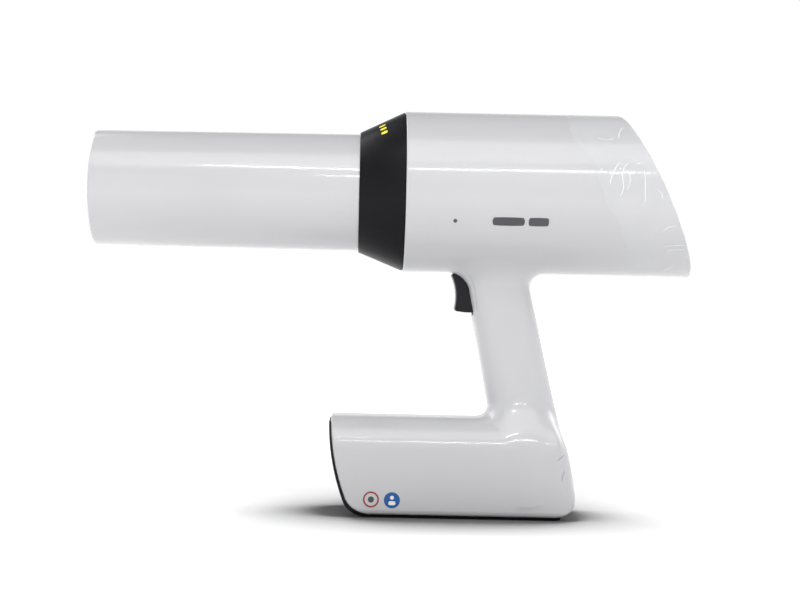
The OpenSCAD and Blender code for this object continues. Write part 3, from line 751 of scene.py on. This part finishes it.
def trigger_field(x, y, z):
    """The lever: hollowed in front for the finger, sloped at its top and foot, with a hub round the pin."""
    half = TRIGGER_HALF_W
    body = box_field(x, y, z, (26, -half, trigger_low[2]), (50, half, trigger_high[2]), 0.8)
    top_slope = (x - 44.5) * 0.753 + (z - 135.3) * 0.658
    foot_slope = (114.1 - z) * 0.97 + (37.5 - x) * 0.24
    body = meet(meet(body, top_slope, 1), foot_slope, 1)
    body = cut(body, rod_field(x, z, *FINGER_HOLLOW), 1.6)
    hub = meet(rod_field(x, z, PIVOT[0], PIVOT[2], TRIGGER_HUB_R), np.abs(y) - half, 0.4)
    return cut(join(body, hub, 0.5), rod_field(x, z, PIVOT[0], PIVOT[2], TRIGGER_BORE_R))


# The cover's screws, forwards or backwards and to either side
COVER_SCREWS_X = (-11, 74)
COVER_SCREWS_Y = (-13, 13)


def cover_field(x, y, z):
    """The foot's outline moved forwards and down, less the foot itself, with four countersunk holes."""
    outer = meet(foot_side(x + COVER_FRONT_T, z + COVER_T), foot_section(y, z), foot_corner(x, z, 0.5))
    body = cut(outer, foot_side(x, z, 0.06))
    body = meet(body, x - cover_high[0], 0.2)
    body = meet(body, z - cover_high[2], 0.3)
    hole_r = np.clip(2.7 - z * 0.8, 1.3, 2.7)
    for sx in COVER_SCREWS_X:
        for sy in COVER_SCREWS_Y:
            body = cut(body, np.hypot(x - sx, y - sy) - hole_r)
    return body


SPRING_TURNS = 5
SPRING_WIRE_R = 0.28


def make_spring():
    """The coil behind the trigger, which shortens as the trigger comes back."""
    low, high = spring_low, spring_high
    reach = SPRING_WIRE_R + 0.02
    radius = (high[1] - low[1]) / 2 - reach
    steps, sides = 24 * SPRING_TURNS, 8
    # The end coils lie close together, as on a ground spring.
    t = np.linspace(0, 1, steps + 1)
    pace = np.clip(np.minimum(t, 1 - t) * SPRING_TURNS / 0.9, 0.25, 1)
    travel = np.concatenate([[0], np.cumsum((pace[1:] + pace[:-1]) / 2)])
    x = low[0] + reach + travel[:, None] / travel[-1] * (high[0] - low[0] - 2 * reach)
    turn = 2 * np.pi * SPRING_TURNS * t[:, None]
    around = 2 * np.pi * np.arange(sides)[None, :] / sides
    r = radius + SPRING_WIRE_R * np.cos(around)
    z = (low[2] + high[2]) / 2
    points = np.stack([x + SPRING_WIRE_R * np.sin(around), r * np.cos(turn), z + r * np.sin(turn)], -1)
    faces = capped_tube(steps + 1, sides)
    piece = mesh_piece("trigger_spring_coil", points.reshape(-1, 3), faces, smooth_angle=50)
    orient(piece)
    stand_for(piece, "trigger_spring")
    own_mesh(piece)


make_moulding("trigger_lever", trigger_field, "trigger", 0.4, "trigger")
make_spring()
make_moulding("foot_cover_moulding", cover_field, "foot_cover", 0.7)


# ---- rear panel

def panel_point(u, v, w):
    """From the panel's own frame (down the slope, to the right, outwards) to the object's, in millimetres."""
    u, v, w = (np.asarray(q, float)[..., None] for q in (u, v, w))
    return PANEL_CENTRE + u * DOWN_SLOPE + v * np.array((0, 1, 0)) + w * PANEL_NORMAL


WINDOW_AT = np.array((-15.0, 0.0))
WINDOW_HALF = np.array((16.0, 25.0))
WINDOW_CORNER = 3.0
# The bezel: its radius, the bore and the rear of its skirt, and its front and back, outwards from the rim
BEZEL_R = 42.2
SKIRT_BORE_R = 40.6
SKIRT_BACK = -8.8
BEZEL_TOP = -0.8
BEZEL_BACK = -3.3
# Buttons: the node, its body, how far down the slope and to the right, and its radius
BUTTONS = (("power_button", "power_key", 30, 0, 5.5), ("mode_button", "mode_key", 13, 0, 4.5),
           ("up_button", "up_key", 14, -18, 4.5), ("down_button", "down_key", 14, 18, 4.5))


def window_field(u, v, grow=0.0):
    half = WINDOW_HALF - WINDOW_CORNER
    du = np.abs(u - WINDOW_AT[0]) - half[0]
    dv = np.abs(v - WINDOW_AT[1]) - half[1]
    outside = np.hypot(np.maximum(du, 0), np.maximum(dv, 0))
    return outside + np.minimum(np.maximum(du, dv), 0) - WINDOW_CORNER - grow


def bezel_field(u, v, w):
    radial = np.hypot(v, u * DOWN_SLOPE[2] + w * PANEL_NORMAL[2])
    plate = meet(meet(radial - BEZEL_R, w - BEZEL_TOP, 0.7), BEZEL_BACK - w, 0.2)
    tube = meet(radial - BEZEL_R, SKIRT_BORE_R - radial, 0.3)
    skirt = meet(tube, meet(w - BEZEL_BACK - 0.5, SKIRT_BACK - w), 0.3)
    body = join(plate, skirt, 0.4)
    # A shallow step round the window and round the keys, and the openings themselves
    body = cut(body, meet(window_field(u, v, 1.6), BEZEL_TOP - 0.3 - w, 0.1), 0.15)
    body = cut(body, window_field(u, v, 0.17), 0.1)
    for _, _, bu, bv, r in BUTTONS:
        rho = np.hypot(u - bu, v - bv)
        dish = meet(rho - r - 1.9, BEZEL_TOP - 0.25 - w, 0.1)
        body = cut(cut(body, dish, 0.2), rho - r - 0.3, 0.15)
    return body


def make_bezel():
    cell = 0.6
    vertices, faces = contour(bezel_field, (-48, -44, -10), (50, 44, 1), cell)
    normals = corner_normals(bezel_field, vertices, faces)
    turned = normals[..., 0:1] * DOWN_SLOPE + normals[..., 2:3] * PANEL_NORMAL
    turned[..., 1] += normals[..., 1]
    points = panel_point(*vertices.T)
    # Where the panel's frame is left-handed, the faces are turned round.
    if np.dot(np.cross(DOWN_SLOPE, (0, 1, 0)), PANEL_NORMAL) < 0:
        faces, turned = faces[:, ::-1], turned[:, ::-1]
    stand_for(mesh_piece("rear_bezel_moulding", points, faces, turned), "rear_bezel")


def stacked(name, outline, rings, place):
    """A closed solid from one outline: each ring moves it inwards by an inset, at a height."""
    outline = np.array(outline, float)
    ahead, behind = np.roll(outline, -1, 0), np.roll(outline, 1, 0)
    along = ahead - behind
    inward = np.stack([-along[:, 1], along[:, 0]], 1) / np.linalg.norm(along, axis=1, keepdims=True)
    points, count = [], len(outline)
    for inset, w in rings:
        ring = outline + inward * inset
        points.append(place(ring[:, 0], ring[:, 1], np.full(count, float(w))))
    piece = mesh_piece(name, np.concatenate(points), capped_tube(len(rings), count), smooth_angle=35)
    orient(piece)
    return piece


def circle(cu, cv, r, n=72):
    a = 2 * np.pi * np.arange(n) / n
    return np.stack([cu + r * np.cos(a), cv + r * np.sin(a)], 1)


def rounded_rectangle(cu, cv, half_u, half_v, r, n=8):
    points = []
    for q, (su, sv) in enumerate(((1, 1), (-1, 1), (-1, -1), (1, -1))):
        a = np.pi / 2 * (q + np.arange(n + 1) / n)
        corner_u, corner_v = cu + su * (half_u - r), cv + sv * (half_v - r)
        points.append(np.stack([corner_u + r * np.cos(a), corner_v + r * np.sin(a)], 1))
    return np.concatenate(points)


def make_window():
    outline = rounded_rectangle(*WINDOW_AT, *WINDOW_HALF, WINDOW_CORNER)
    # A flat lens with a rounded front edge
    rings = [(0.2, -2.8), (0, -2.6), (0, -1.35), (0.06, -1.12), (0.2, -0.97), (0.45, -0.9)]
    stand_for(stacked("display_window_lens", outline, rings, panel_point), "display_window")


def make_buttons():
    for node, body, bu, bv, r in BUTTONS:
        # A dished cap above the bezel, and a flange behind it
        rings = [(-1.2, -4.55), (-1.2, -3.55), (0, -3.5), (0, -0.25), (0.06, 0.02), (0.22, 0.2), (0.5, 0.29),
                 (0.8, 0.3), (1.6, 0.2), (2.6, 0.1), (r - 0.6, 0.02)]
        stand_for(stacked(node + "_cap", circle(bu, bv, r), rings, panel_point), node, body)


make_bezel()
make_window()
make_buttons()


# ---- charging port

FLAP_T = 1.8
FLAP_KNUCKLE_R = 1.58
FLAP_BORE_R = 0.86


def flap_field(x, y, z):
    """A piece of the foot's own skin, with a knuckle along its upper edge."""
    half = flap_high[1] - 0.05
    skin = meet(foot_side(x, z), -foot_side(x, z, -FLAP_T), 0.25)
    skin = meet(skin, np.abs(y) - half, 0.35)
    skin = meet(skin, flap_low[2] - z, 0.3)
    skin = meet(skin, z - HINGE[2] - 0.4, 0.3)
    skin = meet(skin, 87 - x)
    # A finger groove across the lower edge
    groove = np.sqrt((x - 107) ** 2 + (y / 2.2) ** 2 + (z - 18.2) ** 2) - 4.0
    skin = cut(skin, groove, 0.3)
    knuckle = meet(rod_field(x, z, HINGE[0], HINGE[2], FLAP_KNUCKLE_R), np.abs(y) - half, 0.3)
    return cut(join(skin, knuckle, 0.4), rod_field(x, z, HINGE[0], HINGE[2], FLAP_BORE_R))


make_moulding("port_flap_moulding", flap_field, "port_flap", 0.35, "flap")


# ---- printed marks

def patch(name, grid, place, material, body="housing", closed=False, proud=0.05, sunk=0.02):
    """A thin printed mark: a grid of surface coordinates, given a small thickness about the surface."""
    points, normals = place(*grid)
    outer = (points + normals * proud).reshape(-1, 3)
    inner = (points - normals * sunk).reshape(-1, 3)
    faces = sheet_faces(*grid[0].shape, closed)
    piece = mesh_piece(name, np.concatenate([outer, inner]), faces, smooth_angle=40)
    orient(piece)
    piece.data.materials.append(material)
    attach(piece, body)
    return piece


def bar_grid(ca, cb, half_a, half_b, n=12, squareness=1.0):
    """A pill or disc as a grid: a square pulled in to a rounded outline."""
    s = np.linspace(-1, 1, n)
    p, q = np.meshgrid(s, s, indexing="ij")
    a = p * np.sqrt(1 - squareness * q ** 2 / 2)
    b = q * np.sqrt(1 - squareness * p ** 2 / 2)
    return ca + half_a * a, cb + half_b * b


def ring_grid(ca, cb, r0, r1, start=0.0, end=360.0, n=48, rings=3):
    angle = np.radians(np.linspace(start, end, n, endpoint=end - start < 360))
    r = np.linspace(r0, r1, rings)
    return ca + r[:, None] * np.cos(angle), cb + r[:, None] * np.sin(angle)


def on_head_side(x, z):
    """On the head, seen from -Y."""
    rise = z - HEAD_Z
    y = -np.sqrt(HEAD_R ** 2 - rise ** 2)
    return np.stack([x, y, z], -1), np.stack([0 * x, y / HEAD_R, rise / HEAD_R], -1)


def on_foot_side(x, z):
    return np.stack([x, -FOOT_HALF_W + 0 * x, z], -1), np.stack([0 * x, -1 + 0 * x, 0 * z], -1)


def on_skin(x, z):
    """Anywhere on the housing, seen from -Y."""
    near, far = np.full(x.shape, -50.0), np.full(x.shape, -2.0)
    for _ in range(40):
        middle = (near + far) / 2
        inside = skin_field(x, middle, z) < 0
        far = np.where(inside, middle, far)
        near = np.where(inside, near, middle)
    points = np.stack([x, near, z], -1)
    return points, gradient(skin_field, points.reshape(-1, 3)).reshape(points.shape)


def ribbon_grid(path, width):
    """A narrow strip along a smooth line through side-view points."""
    path = np.array(path, float)
    t = np.linspace(0, len(path) - 1, 8 * len(path))
    i = np.clip(t.astype(int), 0, len(path) - 2)
    f = (t - i)[:, None]
    p0, p1 = path[np.clip(i - 1, 0, None)], path[i]
    p2, p3 = path[i + 1], path[np.clip(i + 2, None, len(path) - 1)]
    line = 0.5 * (2 * p1 + (p2 - p0) * f + (2 * p0 - 5 * p1 + 4 * p2 - p3) * f ** 2
                  + (3 * p1 - p0 - 3 * p2 + p3) * f ** 3)
    along = np.gradient(line, axis=0)
    side = np.stack([-along[:, 1], along[:, 0]], 1) / np.linalg.norm(along, axis=1, keepdims=True)
    taper = width / 2 * np.clip(np.minimum(t, t[-1] - t) * 2.5 + 0.25, 0, 1)[:, None]
    strip = np.stack([line + side * taper, line, line - side * taper], 1)
    return strip[..., 0], strip[..., 1]


def on_ring(x, angle):
    """On the cone, at an angle in degrees from the top towards -Y."""
    a = np.radians(angle)
    r = RING_SMALL_R + (RING_LARGE_R - RING_SMALL_R) * (x - RING_FRONT) / (RING_BACK - RING_FRONT)
    slope = (RING_LARGE_R - RING_SMALL_R) / (RING_BACK - RING_FRONT)
    points = np.stack([x, -r * np.sin(a), ring_centre(x) + r * np.cos(a)], -1)
    normals = np.stack([-slope + 0 * x, -np.sin(a), np.cos(a)], -1)
    return points, normals / np.linalg.norm(normals, axis=-1, keepdims=True)


def on_panel(w):
    """On the rear panel, w outwards from the rim's plane."""
    def place(u, v):
        return panel_point(u, v, w), np.broadcast_to(PANEL_NORMAL, u.shape + (3,))
    return place


def ink(name, colour, rough=0.35):
    dark = tuple(c * 0.85 for c in colour)
    return plastic(name, dark, colour, (rough - 0.05, rough + 0.1), 3000, 0.000005)


INK_GREY = ink("ink_grey", (0.06, 0.06, 0.07))
INK_PALE = ink("ink_pale_grey", (0.36, 0.36, 0.38))
INK_FAINT = ink("ink_faint_grey", (0.34, 0.34, 0.36))
INK_YELLOW = ink("ink_yellow", (0.85, 0.72, 0.03), 0.45)
INK_RED = ink("ink_red", (0.3, 0.02, 0.02))
INK_BLUE = ink("ink_blue", (0.0, 0.08, 0.3))
INK_WHITE = ink("ink_white", (0.8, 0.8, 0.8))
SCREEN = plastic("screen_area", (0.012, 0.016, 0.022), (0.018, 0.024, 0.032), (0.08, 0.14), 600, 0.000004,
                 coat=0.6)


def make_marks():
    # The focal-spot dot, and a plain mark of bars beside it
    patch("focal_dot", bar_grid(33, 163, 1.05, 1.05), on_head_side, INK_GREY)
    low, high = 160.9, 165.4
    for k, (start, end) in enumerate(((53, 70.5), (72.5, 83.5))):
        bar = bar_grid((start + end) / 2, (low + high) / 2, (end - start) / 2, (high - low) / 2, 16, 0.35)
        patch(f"name_bar_{k}", bar, on_head_side, INK_GREY)
    # Two round badges low on the foot
    patch("badge_red_ring", ring_grid(-9.2, 10.2, 3.5, 4.4), on_foot_side, INK_RED, closed=True)
    patch("badge_red_dot", bar_grid(-9.2, 10.2, 1.7, 1.7), on_foot_side, INK_GREY)
    patch("badge_blue_disc", bar_grid(2.3, 10.0, 4.4, 4.4, 20), on_foot_side, INK_BLUE)
    patch("badge_blue_dot", bar_grid(2.3, 11.4, 1.1, 1.1), on_foot_side, INK_WHITE, proud=0.09)
    patch("badge_blue_bar", bar_grid(2.3, 8.4, 1.9, 1.1, 12, 0.5), on_foot_side, INK_WHITE, proud=0.09)
    # The parting line of the trigger's surround, and small marks at the foot's back
    surround = ((43.0, 134.6), (45.3, 130.6), (46.6, 126.0), (47.3, 121.0), (48.4, 114.5))
    patch("surround_line", ribbon_grid(surround, 0.28), on_skin, INK_PALE, proud=0.02)
    patch("foot_mark_a", ribbon_grid(((92.6, 33.2), (94.2, 35.0), (96.2, 36.6)), 0.6), on_skin, INK_FAINT)
    patch("foot_mark_b", ribbon_grid(((95.2, 22.2), (95.6, 25.4), (96.8, 28.0)), 0.6), on_skin, INK_FAINT)
    # Three small caution marks near the top of the ring
    for k, angle in enumerate((24, 31, 38)):
        patch(f"ring_mark_{k}", bar_grid(-7 + 0.6 * k, angle, 1.7, 1.9, 10, 0.6), on_ring, INK_YELLOW)
    # Screen and key symbols
    lens = on_panel(-0.9)
    patch("screen_area", bar_grid(*WINDOW_AT, 12.6, 20.5, 16, 0.06), lens, SCREEN, proud=0.02)
    key, raised = on_panel(0.1), on_panel(0.13)
    arc = ring_grid(30, 0, 1.9, 2.35, 220, 500, 40)
    patch("power_symbol_arc", arc, key, INK_WHITE, "power_key", proud=0.1)
    stem = bar_grid(28.1, 0, 1.3, 0.24, 8, 0.3)
    patch("power_symbol_bar", stem, on_panel(0.14), INK_WHITE, "power_key", proud=0.08)
    patch("mode_symbol", ring_grid(13, 0, 1.3, 1.75), key, INK_WHITE, "mode_key", closed=True, proud=0.08)
    patch("up_symbol_a", bar_grid(14, -18, 0.3, 1.7, 8, 0.3), key, INK_WHITE, "up_key", proud=0.08)
    patch("up_symbol_b", bar_grid(14, -18, 1.7, 0.3, 8, 0.3), raised, INK_WHITE, "up_key", proud=0.08)
    patch("down_symbol", bar_grid(14, 18, 0.3, 1.7, 8, 0.3), key, INK_WHITE, "down_key", proud=0.08)


make_marks()


# ---- protective film

FILM_L = 30.0
FILM_T = 0.04
RIM_DEPTH = 0.16


def make_film():
    """A thin wrinkled skin round the rear end of the head, folded in over the rim."""
    around, band, lip = ((480, 80, 12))
    rng = np.random.default_rng(11)
    angle = 2 * np.pi * np.arange(around) / around

    def waves(count, k_low, k_high, s_low, s_high):
        """Sum of slanted ripples, periodic round the head."""
        k = rng.integers(k_low, k_high, count)
        f = rng.uniform(s_low, s_high, count) * rng.choice((-1, 1), count)
        phase = rng.uniform(0, 2 * np.pi, count)

        def total(a, s):
            return sum(np.cos(k[i] * a + f[i] * s + phase[i]) for i in range(count)) / math.sqrt(count)

        return total

    broad = waves(9, 3, 14, 0.05, 0.25)
    fine = waves(12, 10, 45, 0.1, 0.6)
    mask = waves(6, 1, 7, 0.02, 0.12)
    ragged = waves(7, 2, 19, 0, 0)

    # Rows along the head, over the rim, and in across the rim's face
    over = np.linspace(-1.0, RIM_DEPTH, 8)[:-1]
    depth = np.concatenate([np.linspace(-FILM_L, -1.2, band), over, np.full(lip, RIM_DEPTH)])
    inset = np.concatenate([np.zeros(band + 3), (0.02, 0.08, 0.2, 0.45), np.linspace(0.7, 4.0, lip)])
    rows = len(depth)
    a = np.broadcast_to(angle, (rows, around))
    share = np.clip((depth + FILM_L) / FILM_L, 0, 1)[:, None]
    s = depth[:, None] - (1 - share) ** 3 * (1.6 + 1.6 * ragged(a, 0 * a))
    # Creases are where two ripple fields cross zero; they stand up in thin ridges.
    crease = np.exp(-(fine(a, s) / 0.16) ** 2) * (mask(a, s) > 0.1)
    swell = 0.5 + 0.35 * broad(a, s)
    height = np.clip(0.05 * swell + 0.1 * crease, 0, 0.19) * np.where(inset[:, None] > 0.3, 0.5, 1)
    radius = HEAD_R + 0.07 + height - inset[:, None]
    y = -radius * np.sin(a)
    rise = radius * np.cos(a)
    x = REAR_X + (s - rise * PANEL_NORMAL[2]) / PANEL_NORMAL[0]
    outer = np.stack([x, np.clip(y, film_low[1], film_high[1]), HEAD_Z + rise], -1)
    along_u = np.gradient(outer, axis=0)
    along_v = np.roll(outer, -1, 1) - np.roll(outer, 1, 1)
    normal = np.cross(along_u, along_v)
    normal /= np.maximum(np.linalg.norm(normal, axis=-1, keepdims=True), 1e-9)
    if (normal[5] * np.stack([0 * a[5], y[5], rise[5]], -1)).sum() < 0:
        normal = -normal
    inner = outer - normal * FILM_T
    vertices = np.concatenate([outer.reshape(-1, 3), inner.reshape(-1, 3)])
    piece = mesh_piece("protective_film_skin", vertices, sheet_faces(rows, around, True))
    orient(piece)
    stand_for(piece, "protective_film")


def on_film(s, angle):
    """On the film, at a depth from the rear plane and an angle in degrees from the top towards -Y."""
    a = np.radians(angle)
    radius = HEAD_R + 0.1
    y, rise = -radius * np.sin(a), radius * np.cos(a)
    x = REAR_X + (s - rise * PANEL_NORMAL[2]) / PANEL_NORMAL[0]
    return np.stack([x, y, HEAD_Z + rise], -1), np.stack([0 * a, -np.sin(a), np.cos(a)], -1)


def make_folds_with_painted_glints():
    """Sharp raised folds in the film, gathered high on its left side, with a few round the rest of the rim; their
    pale colour is a painted highlight for the glints the folds catch.
    """
    rng = np.random.default_rng(5)
    folds = [((-17, 70), (-20, 74), (-24, 80), (-27, 86)),
             ((-13, 71), (-16, 74), (-19, 80), (-21, 88), (-25, 95)), ((-15, 78), (-16.5, 84), (-20, 90)),
             ((-7, 76), (-8.5, 82), (-11, 90), (-14, 99)), ((-11, 68), (-8, 69)),
             ((-9.5, 71.5), (-6.5, 70.5)), ((-5, 89), (-3.5, 92), (-5, 96)),
             ((-10, 118), (-6.5, 115), (-3, 114)),
             ((-12, 131), (-7, 129.5), (-1.5, 129)), ((-11, 134), (-5, 133), (-1.5, 133)),
             ((-22, 50), (-17, 52), (-13, 50))]
    for _ in range(16):
        s, angle = rng.uniform(-20, -4), rng.uniform(150, 400)
        lean, reach, bow = rng.uniform(-0.9, -0.3), rng.uniform(6, 14), rng.uniform(-1.2, 1.2)
        folds.append(tuple((float(np.clip(s + reach * lean * t + bow * math.sin(math.pi * t), -27, -1.5)),
                            angle + reach * t) for t in (0, 0.33, 0.67, 1)))
    for k, fold in enumerate(folds):
        patch(f"film_fold_painted_glint_{k}", ribbon_grid(fold, float(rng.uniform(0.25, 0.45))), on_film, FOLD_PAINTED_GLINT, proud=0.11,
              sunk=0.0)


# The folds' pale colour is a painted highlight, standing in for the glints on the film's creases.
FOLD_PAINTED_GLINT = plastic("film_fold_painted_glint", (0.74, 0.74, 0.75), (0.8, 0.8, 0.81), (0.1, 0.2), 800, 0.00001)
make_film()
make_folds_with_painted_glints()


# ---- floor and light

# Half a lamp's width as a share of the pitch, and half its height, in metres
LAMP_SHARE = 0.28
LAMP_HALF_H = 0.03

# The floor's painted light, in metres: where its glow starts from, and the radii that the glow changes between
GLOW_CENTRE = (0.042, 0.02, 0)
GLOW_RADII = (0.08, 0.22, 1.1)
NEAR_GLOW = 0.04
MIDDLE_GLOW = 0.18
FAR_GLOW = 0.85
FLOOR_WHITE = 0.88
# The floor's painted shade: how far it looks, how closed in it is at its darkest, and the share of light left
# there
SHADE_REACH = 0.07
SHADE_CLOSED = 0.62
SHADE_DARKEST = 0.16

# The world's strength up to the first height, and from the second height on
HORIZON = 1.02
SKY = 0.15
SKY_HEIGHTS = (0.3, 0.6)


def softbox(name, location, target, size, power):
    data = bpy.data.lights.new(name, "AREA")
    data.shape = "RECTANGLE"
    data.size, data.size_y = size
    data.energy = power
    light = add_object(name, data)
    light.location = location
    light.rotation_euler = (Vector(target) - Vector(location)).to_track_quat("-Z", "Y").to_euler()


def glow(name, strength):
    material, _, shader = new_material(name)
    fill(shader, {"Base Color": (0, 0, 0, 1), "Emission Color": (1, 1, 1, 1), "Emission Strength": strength})
    return material


def lamp_strip(name, start, end, pitch, stagger, material):
    """A row of small lamps, alternately high and low, that shows as a thin bright line in the gloss."""
    start, end = Vector(start), Vector(end)
    count = int((end - start).length / pitch)
    step = (end - start) / count
    faces, points = [], []
    for i in range(count):
        middle = start + step * (i + 0.5) + Vector((0, 0, stagger * (-1) ** i))
        right, up = step * LAMP_SHARE, Vector((0, 0.35, 0.93)) * LAMP_HALF_H
        base = len(points)
        points += [middle - right - up, middle + right - up, middle + right + up, middle - right + up]
        faces.append((base, base + 1, base + 2, base + 3))
    mesh = bpy.data.meshes.new(name)
    mesh.from_pydata([tuple(p) for p in points], [], faces)
    mesh.materials.append(material)
    add_object(name, mesh)


def combine(tree, operation, a, b):
    node = tree.nodes.new("ShaderNodeMath")
    node.operation = operation
    tree.links.new(a, node.inputs[0])
    tree.links.new(b, node.inputs[1])
    return node.outputs[0]


def make_floor():
    bpy.ops.mesh.primitive_plane_add(size=14, location=(0, 0, 0))
    floor = bpy.context.object
    floor.name = "floor"
    material, tree, shader = new_material("floor_white")
    # Painted shade: ambient occlusion darkens the floor's colour and glow close to whatever stands on it.
    corner = tree.nodes.new("ShaderNodeAmbientOcclusion")
    corner.inputs["Distance"].default_value = SHADE_REACH
    painted_shade = remap(tree, corner.outputs["AO"], SHADE_DARKEST, 1, SHADE_CLOSED, 1)
    darkest_tone = RAMP_LOW + (RAMP_HIGH - RAMP_LOW) * SHADE_DARKEST
    painted_shade_tone = remap(tree, corner.outputs["AO"], darkest_tone, RAMP_HIGH, SHADE_CLOSED, 1)
    colour = two_tone(tree, painted_shade_tone, (0, 0, 0), (FLOOR_WHITE,) * 3)
    tree.links.new(colour, shader.inputs["Base Color"])
    fill(shader, {"Roughness": 0.9, "Specular IOR Level": 0.0, "Emission Color": (1, 1, 1, 1)})
    # Painted light: the floor glows dimly near the foot and brighter away from it, standing in for a lit sweep.
    where = tree.nodes.new("ShaderNodeTexCoord")
    reach = tree.nodes.new("ShaderNodeVectorMath")
    reach.operation = "DISTANCE"
    reach.inputs[1].default_value = GLOW_CENTRE
    tree.links.new(where.outputs["Object"], reach.inputs[0])
    near = remap(tree, reach.outputs["Value"], NEAR_GLOW, MIDDLE_GLOW, *GLOW_RADII[:2])
    far = remap(tree, reach.outputs["Value"], 0, FAR_GLOW - MIDDLE_GLOW, *GLOW_RADII[1:])
    painted_floor_glow = combine(tree, "ADD", near, far)
    tree.links.new(combine(tree, "MULTIPLY", painted_floor_glow, painted_shade), shader.inputs["Emission Strength"])
    floor.data.materials.append(material)


def make_world():
    """White near the horizon, dimmer overhead."""
    world = bpy.data.worlds.new("world")
    world.use_nodes = True
    tree = world.node_tree
    where = tree.nodes.new("ShaderNodeTexCoord")
    split = tree.nodes.new("ShaderNodeSeparateXYZ")
    tree.links.new(where.outputs["Generated"], split.inputs[0])
    strength = remap(tree, split.outputs["Z"], HORIZON, SKY, *SKY_HEIGHTS)
    strength.node.interpolation_type = "SMOOTHSTEP"
    tree.links.new(strength, tree.nodes["Background"].inputs["Strength"])
    tree.nodes["Background"].inputs["Color"].default_value = (1, 1, 1, 1)
    bpy.context.scene.world = world


make_floor()
make_world()
softbox("key", (0.0, -0.72, 1.3), (0, 0, 0.13), (1.7, 0.8), 11)
softbox("back_left", (-1.0, 0.58, 0.95), (0.02, 0, 0.02), (1.0, 1.0), 9.5)
softbox("back_right", (1.1, 0.6, 0.95), (0.02, 0, 0.02), (1.0, 1.0), 9.5)
lamps = glow("lamps", 55)
lamp_strip("body_lamps", (-0.13, -1.5, 0.98), (0.56, -1.5, 1.04), 0.03, 0.004, lamps)
lamp_strip("tube_lamps", (-0.5, -1.25, 1.46), (0.0, -1.25, 1.26), 0.024, 0.006, lamps)
bpy.context.scene.view_settings.view_transform = "Standard"
